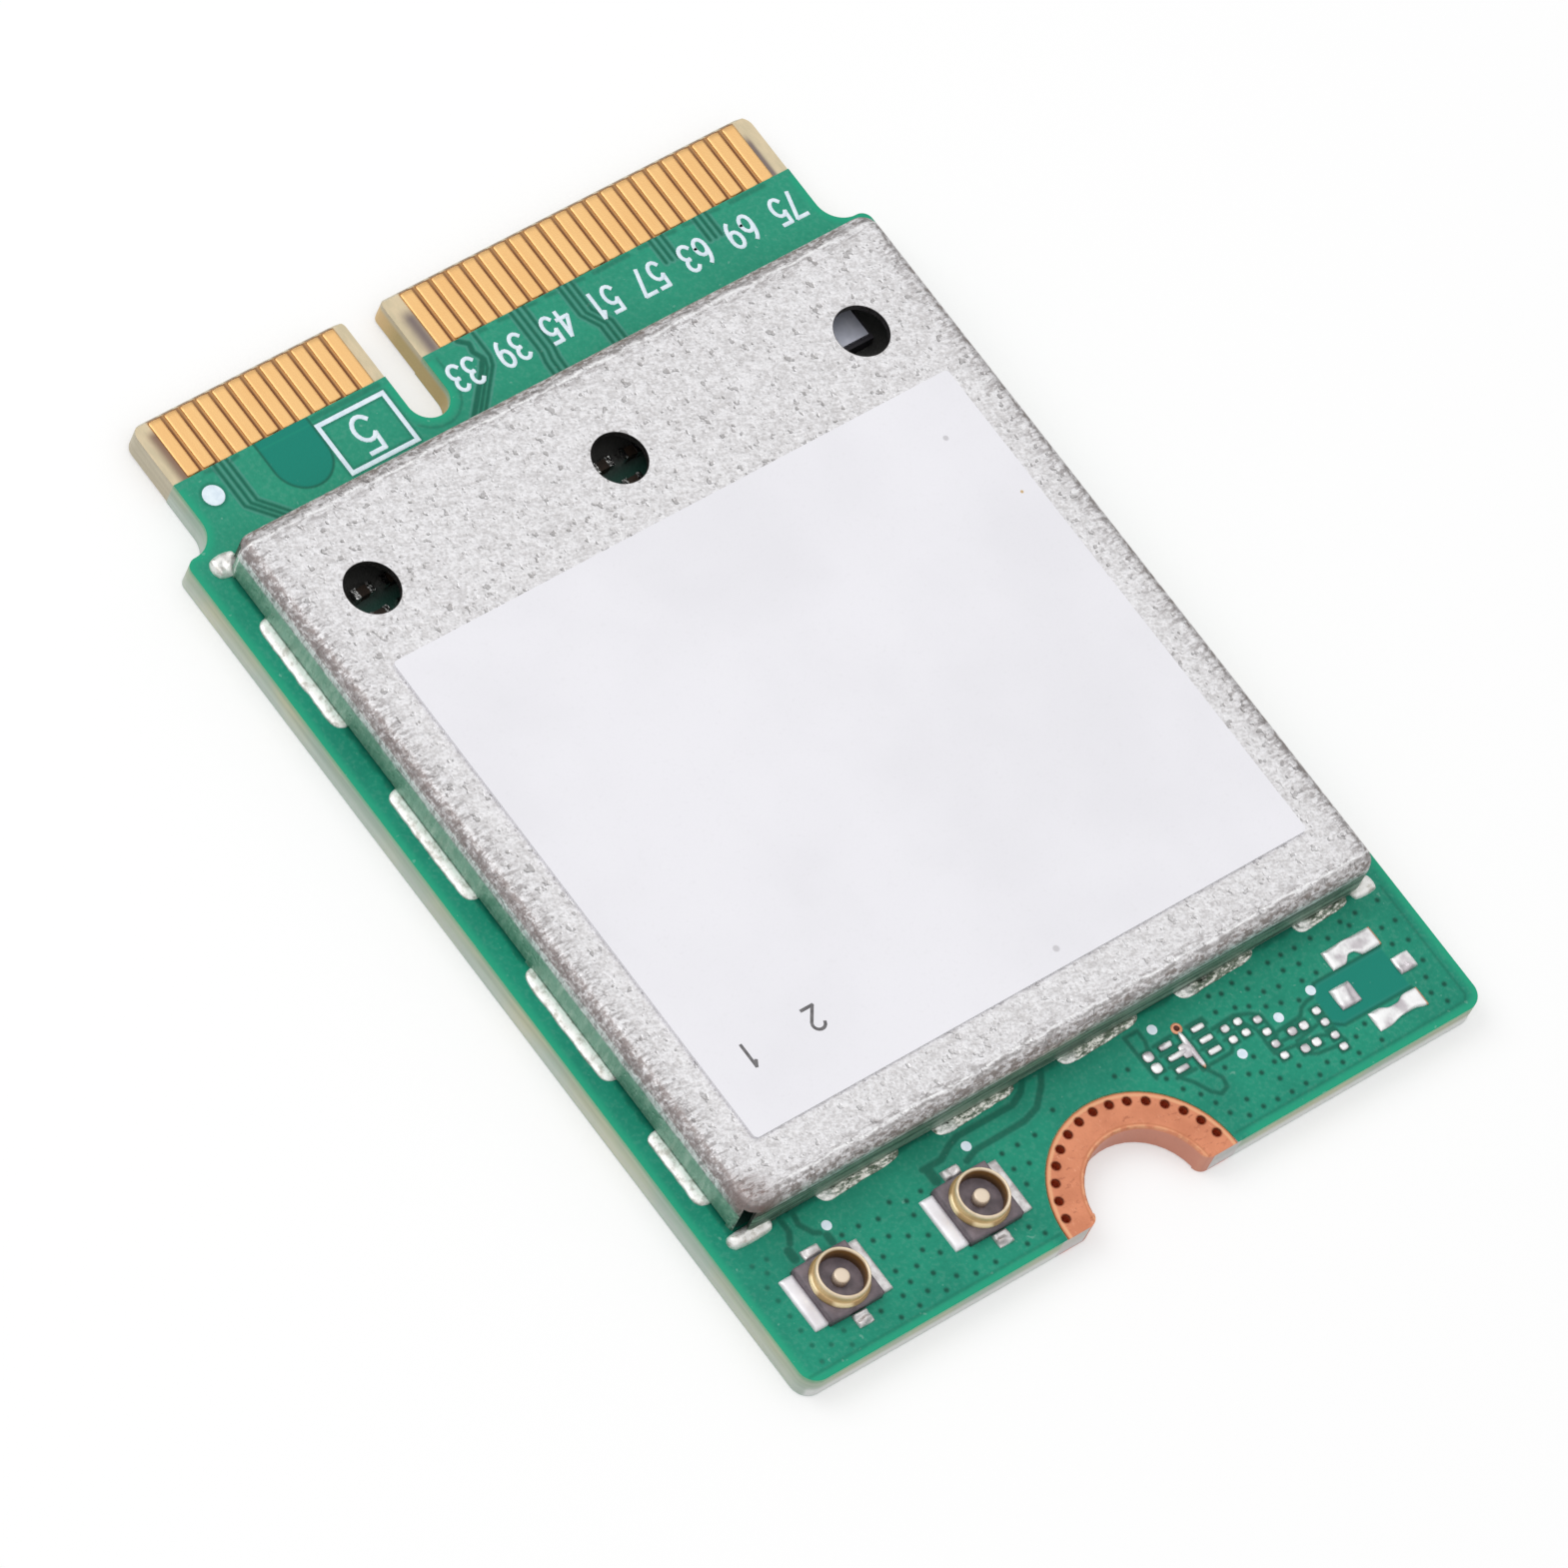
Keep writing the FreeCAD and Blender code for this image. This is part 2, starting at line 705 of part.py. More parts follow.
def chip_lands(centre, size):
    """Solder lands under a chip: a row inside each edge and one large land in the middle."""
    x, y = centre
    lands = []
    for along, across, turned in ((size[0], size[1], False), (size[1], size[0], True)):
        count = int((along - 2 * land_length) / land_pitch)
        for i in range(count):
            offset = (i - (count - 1) / 2) * land_pitch
            for side in (-1, 1):
                edge = side * (across - land_length) / 2
                if turned:
                    place, footprint = (x + edge, y + offset), (land_length, land_width)
                else:
                    place, footprint = (x + offset, y + edge), (land_width, land_length)
                lands.append(centred_block(place, (*footprint, chip_standoff), board_top))
    middle = (size[0] - 4 * land_length, size[1] - 4 * land_length, chip_standoff)
    if min(middle) > 0:
        lands.append(centred_block(centre, middle, board_top))
    return group(lands)


def end_lands(centre, size):
    """Two solder lands under the ends of a block such as a coil, a filter or a crystal."""
    x, y = centre
    offset = (size[0] - land_length) / 2
    return group([centred_block((x + side * offset, y), (land_length, size[1], chip_standoff), board_top)
                  for side in (-1, 1)])


def crystal_lid():
    """Metal lid on the crystal's ceramic case."""
    size = (crystal_size[0] - 2 * crystal_lid_inset, crystal_size[1] - 2 * crystal_lid_inset,
            crystal_lid_thickness)
    return centred_block(crystal_centre(), size, board_top + chip_standoff + crystal_size[2])


def row(first_x, y, count, pitch):
    """Centres of a row of like parts along X."""
    return [(first_x + i * pitch, y) for i in range(count)]


def capacitor_centres():
    """Small capacitors: two rows under the left hole, two under the middle one, three by the radio."""
    y = inner_back - back_rows_from_back
    left = inner_left + left_rows_from_left
    middle = lid_middle_x + middle_rows_shift
    centres = row(left, y, 3, small_part_pitch) + row(left, y + row_pitch, 3, small_part_pitch)
    centres += row(middle, y, 3, small_part_pitch)
    centres += row(middle + small_part_pitch / 2, y + row_pitch, 2, small_part_pitch)
    for i in (-1, 0, 1):
        centres += row(left, radio_centre()[1] + 2 * i * row_pitch, 2, small_part_pitch)
    return centres


def large_capacitor_centres():
    """Larger capacitors in a row inside the front wall, on the right."""
    x = inner_right - large_row_from_right - 2 * large_part_pitch
    return row(x, inner_front + large_row_from_front, 3, large_part_pitch)


def resistor_centres():
    """Resistors: a row left of the middle hole and a stack beside the large capacitors."""
    y = inner_back - back_rows_from_back + row_pitch
    centres = row(lid_middle_x + resistor_row_shift, y, 3, small_part_pitch)
    x = inner_right - resistor_stack_from_right
    return centres + [(x, inner_front + large_row_from_front + i * row_pitch) for i in range(3)]


def two_ended_bodies(centres, size):
    """Ceramic bodies of small parts. The end caps are a little thicker than the body."""
    body = (size[0] - 2 * end_cap_length, size[1] - 2 * end_cap_wall, size[2] - 2 * end_cap_wall)
    return [centred_block(centre, body, board_top + end_cap_wall) for centre in centres]


def two_ended_caps(centres, size):
    """Tinned end caps of small parts, which stand on the board."""
    offset = (size[0] - end_cap_length) / 2
    cap = (end_cap_length, size[1], size[2])
    return [centred_block((x + side * offset, y), cap, board_top) for x, y in centres for side in (-1, 1)]


def build():
    """Every sub-part by name."""
    can = shield_can()
    solder = {
        "shield_solder_front": wall_solder(front_feet(), lid_front, V(0, -1, 0)),
        "shield_solder_back": wall_solder(front_feet(), lid_back, V(0, 1, 0)),
        "shield_solder_left": wall_solder(side_feet(), lid_left, V(-1, 0, 0)),
        "shield_solder_right": wall_solder(side_feet(), lid_right, V(1, 0, 0)),
    }
    parts = {
        "circuit_board": circuit_board(),
        "contacts_top_short_row": contact_row(top_short_pins, core_top),
        "contacts_top_long_row": contact_row(top_long_pins, core_top),
        "contacts_bottom_short_row": contact_row(bottom_short_pins, 0),
        "contacts_bottom_long_row": contact_row(bottom_long_pins, 0),
        "mounting_ground_ring": mounting_ground_ring(),
        "shield_can": can,
        "shield_solder_corners": corner_solder(can, list(solder.values())),
        "shield_label": shield_label(),
        "spare_receptacle_pads": spare_receptacle_pads(),
        "matching_network_pads": matching_network_pads(),
        "test_pads": test_pads(),
        "radio_chip": chip(radio_centre(), radio_size),
        "radio_chip_lands": chip_lands(radio_centre(), radio_size),
        "power_regulator": chip(regulator_centre(), regulator_size),
        "power_regulator_lands": chip_lands(regulator_centre(), regulator_size),
        "settings_memory": chip(memory_centre(), memory_size),
        "settings_memory_lands": chip_lands(memory_centre(), memory_size),
        "power_coil": chip(coil_centre(), coil_size),
        "power_coil_lands": end_lands(coil_centre(), coil_size),
        "crystal_case": chip(crystal_centre(), crystal_size),
        "crystal_lid": crystal_lid(),
        "crystal_lands": end_lands(crystal_centre(), crystal_size),
    }
    parts.update(solder)
    for number in (0, 1):
        centre = socket_centre(number)
        shell = socket_ground_shell(centre)
        contact = socket_signal_contact(centre)
        label = f"antenna_{number + 1}"
        parts[f"{label}_ground_shell"] = shell
        parts[f"{label}_signal_contact"] = contact
        parts[f"{label}_base"] = socket_base(centre, shell, contact)
        parts[f"{label}_solder"] = socket_solder(centre)
        parts[f"{label}_amplifier"] = chip(amplifier_centre(number), amplifier_size)
        parts[f"{label}_amplifier_lands"] = chip_lands(amplifier_centre(number), amplifier_size)
        parts[f"{label}_filter"] = chip(filter_centre(number), filter_size)
        parts[f"{label}_filter_lands"] = end_lands(filter_centre(number), filter_size)
    small = capacitor_centres()
    large = large_capacitor_centres()
    plain = resistor_centres()
    parts["capacitor_bodies"] = group(two_ended_bodies(small, capacitor_size)
                                      + two_ended_bodies(large, large_capacitor_size))
    parts["capacitor_end_caps"] = group(two_ended_caps(small, capacitor_size)
                                        + two_ended_caps(large, large_capacitor_size))
    parts["resistor_bodies"] = group(two_ended_bodies(plain, resistor_size))
    parts["resistor_end_caps"] = group(two_ended_caps(plain, resistor_size))
    return parts


os.makedirs("parts", exist_ok=True)
for name, shape in build().items():
    shape.exportStep(f"parts/{name}.step")
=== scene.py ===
import json
import math

import bmesh
import bpy
import numpy as np
from mathutils import Matrix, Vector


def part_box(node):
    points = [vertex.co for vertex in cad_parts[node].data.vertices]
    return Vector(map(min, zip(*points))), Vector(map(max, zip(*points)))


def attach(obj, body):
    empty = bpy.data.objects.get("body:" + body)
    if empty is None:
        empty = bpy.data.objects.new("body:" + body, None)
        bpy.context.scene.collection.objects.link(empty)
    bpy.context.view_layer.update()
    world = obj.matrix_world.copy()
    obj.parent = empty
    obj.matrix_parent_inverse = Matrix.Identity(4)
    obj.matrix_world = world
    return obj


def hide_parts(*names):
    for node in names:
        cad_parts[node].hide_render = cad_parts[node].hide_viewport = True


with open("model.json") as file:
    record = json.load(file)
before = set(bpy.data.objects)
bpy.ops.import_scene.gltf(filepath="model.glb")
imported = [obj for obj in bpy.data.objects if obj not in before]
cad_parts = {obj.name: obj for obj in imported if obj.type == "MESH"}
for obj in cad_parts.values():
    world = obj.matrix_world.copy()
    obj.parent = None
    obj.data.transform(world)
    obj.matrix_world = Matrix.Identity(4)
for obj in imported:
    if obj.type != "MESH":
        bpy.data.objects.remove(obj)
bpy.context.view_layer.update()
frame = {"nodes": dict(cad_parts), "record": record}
cad = frame["nodes"]
MM = 0.001


# Circuit board: glass-fibre laminate, 0.8 mm thick, with a coat of green lacquer on both faces.
# The lacquer stops short of the gold contacts and of the copper ring round the screw seat.
# The bare laminate shows as grey-green sides and a tan tongue.

def wire(node, inputs):
    """Sets a shader node's inputs, each to a value or to another node's output."""
    for name, value in inputs.items():
        if isinstance(value, bpy.types.NodeSocket):
            node.id_data.links.new(value, node.inputs[name])
        else:
            node.inputs[name].default_value = value


def put(tree, kind, inputs, **settings):
    """Adds one shader node."""
    made = tree.nodes.new("ShaderNode" + kind)
    for name, value in settings.items():
        setattr(made, name, value)
    wire(made, inputs)
    return made


def maths(operation, *terms):
    """One sum on masks and numbers."""
    tree = next(term for term in terms if isinstance(term, bpy.types.NodeSocket)).id_data
    return put(tree, "Math", dict(enumerate(terms)), operation=operation).outputs[0]


def times(first, *others):
    """The product of masks and numbers."""
    for other in others:
        first = maths("MULTIPLY", first, other)
    return first


def plus(first, second):
    """The sum of two masks or numbers."""
    return maths("ADD", first, second)


def less(first, second):
    """The first mask or number less the second."""
    return maths("SUBTRACT", first, second)


def ramp(value, low, high, bottom=0, top=1):
    """A soft step: bottom below low, top above high, smooth between."""
    ends = {"Value": value, "From Min": low, "From Max": high, "To Min": bottom, "To Max": top}
    return put(value.id_data, "MapRange", ends, interpolation_type="SMOOTHSTEP").outputs[0]


def within(value, low, high, soft):
    """A band mask: one between low and high, with soft edges."""
    return times(ramp(value, low - soft, low + soft), ramp(value, high - soft, high + soft, 1, 0))


def linear(colour):
    """Linear light of a colour read from the photograph in steps of 255."""
    share = np.array(colour) / 255
    light = np.where(share <= 0.04045, share / 12.92, ((share + 0.055) / 1.055) ** 2.4)
    return (*light.tolist(), 1.0)


def tint(mask, under, over):
    """One colour laid over another through a mask. A colour is a node's output or three steps of 255."""
    under, over = (c if isinstance(c, bpy.types.NodeSocket) else linear(c) for c in (under, over))
    return put(mask.id_data, "Mix", {0: mask, 6: under, 7: over}, data_type="RGBA").outputs[2]


def coats(body, *layers):
    """Coats laid over the body's colour one after another, each a mask and a colour."""
    for mask, colour in layers:
        body = tint(mask, body, colour)
    return body


def noise(place, scale, detail=2, roughness=0.5):
    """Cloudy noise with scale blotches in a millimetre."""
    sizes = {"Vector": place, "Scale": scale, "Detail": detail, "Roughness": roughness}
    return put(place.id_data, "TexNoise", sizes).outputs[0]


def millimetres(tree, stretch=(1, 1, 1)):
    """Object coordinates in millimetres, stretched or squeezed along each axis."""
    place = put(tree, "TexCoord", {}).outputs["Object"]
    return put(tree, "Mapping", {"Vector": place, "Scale": [1000 * s for s in stretch]}).outputs[0]


def blotches(tree, scale, detail=2, roughness=0.5, stretch=(1, 1, 1)):
    """Cloudy noise over a whole piece."""
    return noise(millimetres(tree, stretch), scale, detail, roughness)


def board_parts(tree):
    """X, Y and Z in millimetres, for masks by place."""
    return put(tree, "SeparateXYZ", {"Vector": millimetres(tree)}).outputs


def shader_group(name, inputs, outputs):
    """An empty node group with named sockets, each one of Vector, Color or Float."""
    group = bpy.data.node_groups.new(name, "ShaderNodeTree")
    for way, sockets in (("INPUT", inputs), ("OUTPUT", outputs)):
        for socket, kind in sockets.items():
            group.interface.new_socket(socket, in_out=way, socket_type="NodeSocket" + kind)
    return group, group.nodes.new("NodeGroupInput").outputs, group.nodes.new("NodeGroupOutput")


def finish_material(name, colour, relief, depth, roughness, metallic=0, specular=0.5):
    """A Principled material. colour and relief are functions that add their nodes to its tree, depth is
    the relief in millimetres, and roughness is a number or such a function."""
    material = bpy.data.materials.new(name)
    material.use_nodes = True
    tree = material.node_tree
    rough = roughness(tree) if callable(roughness) else roughness
    bump = put(tree, "Bump", {"Strength": 1, "Distance": depth * MM, "Height": relief(tree)}).outputs[0]
    wire(tree.nodes["Principled BSDF"], {"Base Color": colour(tree), "Metallic": metallic, "Roughness": rough,
                                         "Specular IOR Level": specular, "Normal": bump})
    return material


def dress(node, material):
    """Gives a CAD piece its material."""
    cad[node].data.materials.clear()
    cad[node].data.materials.append(material)


coat_green, coat_deep = (26, 145, 117), (22, 134, 109)
tongue_green, rim_green = (46, 152, 122), (30, 160, 124)
gap_green, bare_teal, trace_highlight, dust_pale = (2, 78, 62), (8, 130, 112), (94, 146, 138), (140, 190, 174)

lacquer_paint, given, made = shader_group(
    "lacquer_paint", {"Place": "Vector", "Marks": "Color", "Pale": "Float"},
    {"Colour": "Color", "Height": "Float"})
marks = put(lacquer_paint, "SeparateColor", {"Color": given["Marks"]}).outputs
along = put(lacquer_paint, "SeparateXYZ", {"Vector": given["Place"]}).outputs["Y"]
grain = noise(given["Place"], 9, 3)
speck = ramp(noise(given["Place"], 5.5, 1), 0.74, 0.80, 0, 0.35)
# The Pale input paints a highlight along the sides of the traces.
wire(made, {"Height": plus(grain, times(speck, 2)), "Colour": coats(
    tint(ramp(noise(given["Place"], 0.45, 3), 0.35, 0.65), coat_deep, coat_green),
    (ramp(along, 7, 12, 0, 0.6), tongue_green), (ramp(grain, 0.46, 0.70, 0, 0.09), dust_pale),
    (ramp(grain, 0.30, 0.44, 0.10, 0), gap_green), (marks["Green"], bare_teal), (marks["Blue"], rim_green),
    (speck, dust_pale), (given["Pale"], trace_highlight), (marks["Red"], gap_green))})


def lacquer_on(tree, output):
    """The lacquer by its own marks: red for copper gaps and painted shadows, green for bare fields, blue for
    the rim, and alpha for the painted highlights along the sides of the traces."""
    marks = put(tree, "Attribute", {}, attribute_name="marks").outputs
    places = {"Place": millimetres(tree), "Marks": marks["Color"], "Pale": marks["Alpha"]}
    return put(tree, "Group", places, node_tree=lacquer_paint).outputs[output]


lacquer = finish_material("green_lacquer", lambda tree: lacquer_on(tree, "Colour"),
                          lambda tree: lacquer_on(tree, "Height"), 0.004, 0.42, specular=0.22)

tongue_start = 13.1
laminate_grey, laminate_pale, laminate_tan = (180, 200, 184), (206, 208, 176), (220, 202, 168)
gap_shade_brown, gap_reflection_orange = (112, 66, 30), (206, 156, 98)
wall_olive, shade_violet = (196, 176, 124), (108, 94, 98)
# Painted shade for the board under the lid: a darker green, and a grey deeper in.
under_lid, under_lid_shadow_grey = (48, 86, 76), (84, 84, 82)


def board_colour(tree):
    """Lacquer on the two faces, laminate on the sides and the tongue, and painted shade: under the lid, and
    brown between the contacts.
    """
    x, y, z = board_parts(tree)
    # The two faces, with painted shade under the lid: darker green, greyer towards the back and right.
    rim = maths("MAXIMUM", ramp(maths("ABSOLUTE", x), 10.75, 10.95), ramp(y, -14.95, -14.8, 1, 0))
    marks = put(tree, "CombineColor", {"Red": underside_vias(tree), "Blue": rim}).outputs[0]
    coat = put(tree, "Group", {"Place": millimetres(tree), "Marks": marks}, node_tree=lacquer_paint)
    covered = times(within(x, -10.1, 10.2, 0.02), within(y, -10.8, 10.6, 0.02), ramp(z, 0.5, 0.6))
    far_shade = maths("MAXIMUM", ramp(y, 7.8, 8.4), ramp(x, 6.5, 7.5))
    coat = tint(covered, coat.outputs["Colour"], tint(far_shade, under_lid, under_lid_shadow_grey))
    faces = maths("MAXIMUM", ramp(z, 0.792, 0.797), ramp(z, 0.003, 0.008, 1, 0))
    # The sides: plies of glass, pale below, green where lacquer ran over the edge, olive in the notch.
    plies = blotches(tree, 1, 4, stretch=(0.5, 0.5, 9))
    front = ramp(y, -14.9, -14.8, 1, 0)
    by_ring = times(within(x, -2.9, 2.9, 0.05), front)
    olive = times(within(x, -3.3, -1.95, 0.02), ramp(y, 11.3, 11.45), ramp(z, 0.50, 0.68, 1, 0.1))
    wall = tint(ramp(y, 13.9, 14.8, 0, 0.8), wall_olive, (240, 206, 152))
    body = coats(
        tint(ramp(blotches(tree, 0.35), 0.40, 0.66), laminate_grey, laminate_pale),
        (ramp(plies, 0.35, 0.7, 0, 0.22), (112, 128, 118)),
        (times(ramp(z, 0.50, 0.20), plus(0.3, times(front, 0.65))), (248, 250, 248)),
        (times(ramp(z, 0.60, 0.78, 0, 0.65), less(1, by_ring)), (92, 186, 134)),
        (times(by_ring, 0.7), (222, 214, 214)), (olive, wall), (faces, coat))
    # The tongue: brown and orange in the gaps between contacts, painted as shade and as a reflection of the
    # gold; painted shade at the ends of the rows; ticked at the tip.
    rows = plus(within(x, -9.45, -3.55, 0.03), within(x, -1.45, 9.45, 0.03))
    across = maths("WRAP", x, 0.25, -0.25)
    gap = coats(tint(ramp(across, -0.02, 0.05), gap_shade_brown, gap_reflection_orange),
                (ramp(y, 14.3, 14.85, 0, 0.6), (164, 124, 82)))
    ends = plus(within(x, -1.78, -1.40, 0.19), within(x, 9.42, 9.58, 0.06))
    first_contact_shade = times(within(y, 13, 14.6, 0.15), ramp(x, -9.80, -9.50), ramp(x, -9.44, -9.40, 0.88, 0))
    bare = coats(
        tint(ramp(blotches(tree, 2, 3, stretch=(3, 1, 1)), 0.3, 0.7), laminate_tan, (206, 192, 160)),
        (times(rows, within(y, 13, 15.1, 0.06)), gap),
        (times(within(y, 13, 14.35, 0.22), ends, 0.88), shade_violet), (first_contact_shade, (124, 92, 78)))
    flat = maths("MAXIMUM", ramp(z, 0.745, 0.755), ramp(z, 0.045, 0.055, 1, 0))
    tick = times(ramp(y, 14.885, 14.895), ramp(z, 0.62, 0.66),
                 ramp(maths("ABSOLUTE", across), 0.05, 0.10, 0, 0.75), rows)
    tongue = coats(tint(ramp(plies, 0.30, 0.70), (214, 204, 180), (204, 194, 170)),
                   (olive, wall), (flat, bare), (tick, (122, 88, 58)))
    return tint(ramp(y, tongue_start - 0.02, tongue_start + 0.02), body, tongue)


def underside_vias(tree):
    """Small dark spots, one to a cell of an uneven net, where plated holes pass through."""
    net = put(tree, "TexVoronoi", {"Vector": millimetres(tree, (1, 1, 0)), "Scale": 0.62, "Randomness": 0.7})
    below = ramp(board_parts(tree)[2], 0.01, 0.02, 1, 0)
    return times(ramp(net.outputs["Distance"], 0.05, 0.075, 0.8, 0), below)


def board_relief(tree):
    """Fine weave of the glass cloth with a cloud over it."""
    return plus(blotches(tree, 6, 3), blotches(tree, 22, 1))


laminate = finish_material("board_laminate", board_colour, board_relief, 0.006, 0.5, specular=0.35)
dress("circuit_board", laminate)


# The lacquer over the copper: a printed and baked skin in four pieces round the lid, thinner at its rim.
# It dips where the copper below it stops, along every trace and at every small hole, and round every pad.

board_top, board_half, board_front = 0.80, 11, -15
skin = 0.012
dip = 0.010
screw_ring = 2.78
shoulder = 11.15
notch_middle, notch_half, notch_end = -2.625, 0.60, 11.5
shield_low, shield_high = (np.array(corner) * 1000 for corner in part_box("shield_can"))


def rounded_box(x, y, low, high, radius):
    """Distance to a rounded rectangle, negative inside: the reach past each side, less the radius."""
    reach_x = np.abs(x - (low[0] + high[0]) / 2) - (high[0] - low[0]) / 2 + radius
    reach_y = np.abs(y - (low[1] + high[1]) / 2) - (high[1] - low[1]) / 2 + radius
    outside = np.hypot(np.maximum(reach_x, 0), np.maximum(reach_y, 0))
    return outside + np.minimum(np.maximum(reach_x, reach_y), 0) - radius


def ripple(x, y, size, seed):
    """Smooth bumps about size millimetres across: seven sine waves in directions drawn from the seed."""
    draw = np.random.RandomState(seed)
    total = np.zeros(np.broadcast(x, y).shape)
    for _ in range(7):
        turn, phase = draw.uniform(0, 2 * math.pi, 2)
        pitch = 2 * math.pi / (size * draw.uniform(0.7, 1.8))
        total += np.sin(pitch * (x * math.cos(turn) + y * math.sin(turn)) + phase)
    return total / 3.5


def board_edge(x, y):
    """Distance to the lacquer's rim, negative on it: body and tongue joined by a round, less notch and
    seat."""
    far = 30
    body = np.maximum(rounded_box(x, y, (-board_half, board_front), (board_half, far), 0.5),
                      rounded_box(x, y, (-board_half, -far), (board_half, shoulder), 0.3))
    tongue = rounded_box(x, y, (-9.925, 5), (9.925, tongue_start + 2), 0.4)
    fillet = 0.75
    joined = (np.maximum(fillet, np.minimum(body, tongue))
              - np.hypot(np.maximum(fillet - body, 0), np.maximum(fillet - tongue, 0)))
    notch = rounded_box(x - notch_middle, y, (-notch_half, notch_end), (notch_half, 20), notch_half)
    seat = np.hypot(x, y - board_front) - screw_ring
    return np.maximum.reduce([joined, -notch, -seat, y - tongue_start])


def step(value, low, high):
    """Smooth step from 0 at low to 1 at high: three squares less two cubes of the share of the way."""
    t = np.clip((value - low) / (high - low), 0, 1)
    return t * t * (3 - 2 * t)


def from_line(x, y, width, points):
    """Distance to a drawn line, negative on it: the least distance to its runs, less half its width."""
    nearest = np.full(x.shape, 9.0)
    for (ax, ay), (bx, by) in zip(points[:-1], points[1:]):
        along = ((x - ax) * (bx - ax) + (y - ay) * (by - ay)) / ((bx - ax) ** 2 + (by - ay) ** 2)
        along = np.clip(along, 0, 1)
        nearest = np.minimum(nearest, np.hypot(x - ax - along * (bx - ax), y - ay - along * (by - ay)))
    return nearest - width / 2


antenna_gaps = [
    (0.14, [(-8.87, -10.6), (-8.87, -11.35), (-9.05, -11.62)]),
    (0.24, [(-9.2, -11.78), (-9.2, -12.0)]),
    (0.13, [(-8.40, -10.6), (-8.54, -11.3), (-8.35, -11.66), (-8.2, -11.75)]),
    (0.20, [(-8.08, -11.9), (-8.08, -12.1)]),
    (0.26, [(-4.73, -11.75), (-4.73, -12.05)]),
    (0.15, [(-4.85, -11.65), (-4.25, -11.65), (-3.85, -11.45), (-3.5, -11.33), (-1.7, -11.33),
            (-1.3, -11.15), (-0.85, -10.7)]),
    (0.14, [(-3.7, -12.0), (-3.3, -11.87), (-1.7, -11.84), (-1.2, -11.7), (-0.7, -11.25), (-0.3, -10.7)]),
]
rim_lines = [
    (0.05, [(-10.85, -14.78), (-2.85, -14.78)]),
    (0.05, [(2.85, -14.76), (10.5, -14.76), (10.63, -14.6), (10.63, -11.1)]),
]
network_gaps = [
    (0.09, [(2.03, -12.55), (2.0, -11.26), (2.42, -11.26), (2.42, -11.6), (2.34, -11.78)]),
    (0.09, [(2.58, -12.84), (2.83, -13.13), (3.05, -13.55), (3.25, -13.72), (3.5, -13.63), (3.56, -13.38),
            (3.42, -13.13), (3.32, -12.98)]),
    (0.08, [(2.5, -11.82), (3.1, -11.79)]),
    (0.08, [(3.6, -11.79), (4.12, -11.79), (4.14, -11.95)]),
    (0.07, [(2.5, -12.12), (3.08, -12.12)]),
    (0.07, [(2.5, -12.49), (3.08, -12.49)]),
    (0.07, [(3.56, -12.12), (4.05, -12.12)]),
    (0.07, [(3.56, -12.49), (4.05, -12.49)]),
    (0.08, [(2.5, -12.82), (3.1, -12.84)]),
    (0.08, [(3.5, -12.93), (4.2, -12.93), (4.3, -12.85)]),
    (0.09, [(4.17, -12.17), (4.9, -12.13), (5.33, -12.3), (5.52, -12.47), (5.55, -13.1), (5.28, -13.2)]),
    (0.07, [(4.25, -12.3), (4.65, -12.3)]),
    (0.07, [(4.65, -12.45), (5.05, -12.5), (5.18, -12.75), (5.18, -13.2)]),
    (0.07, [(4.25, -12.57), (4.62, -12.57)]),
    (0.08, [(5.17, -13.1), (5.17, -13.5), (5.5, -13.55), (6.5, -13.66), (6.98, -13.9), (7.06, -14.12),
            (6.9, -14.14), (6.17, -14.05), (5.92, -13.92)]),
    (0.07, [(5.3, -13.3), (5.75, -13.33)]),
    (0.08, [(5.62, -13.05), (6.42, -13.0), (6.60, -12.82), (6.83, -12.74), (7.02, -12.72), (7.3, -12.45)]),
    (0.07, [(5.9, -13.5), (6.4, -13.45), (6.65, -13.4)]),
    (0.07, [(6.75, -13.25), (7.0, -13.25)]),
    (0.07, [(6.75, -13.66), (7.0, -13.66)]),
    (0.06, [(7.3, -12.43), (9.52, -12.43)]),
    (0.06, [(7.0, -13.55), (7.3, -13.76), (9.52, -13.76)]),
]
# Painted shadow spots at the lid's front foot by the antenna lines, laid in as holes: darker and dipped.
lid_shade = [(-8.72, -10.66), (-8.58, -10.86), (-8.66, -10.76), (-8.02, -10.80), (-8.10, -10.70)]
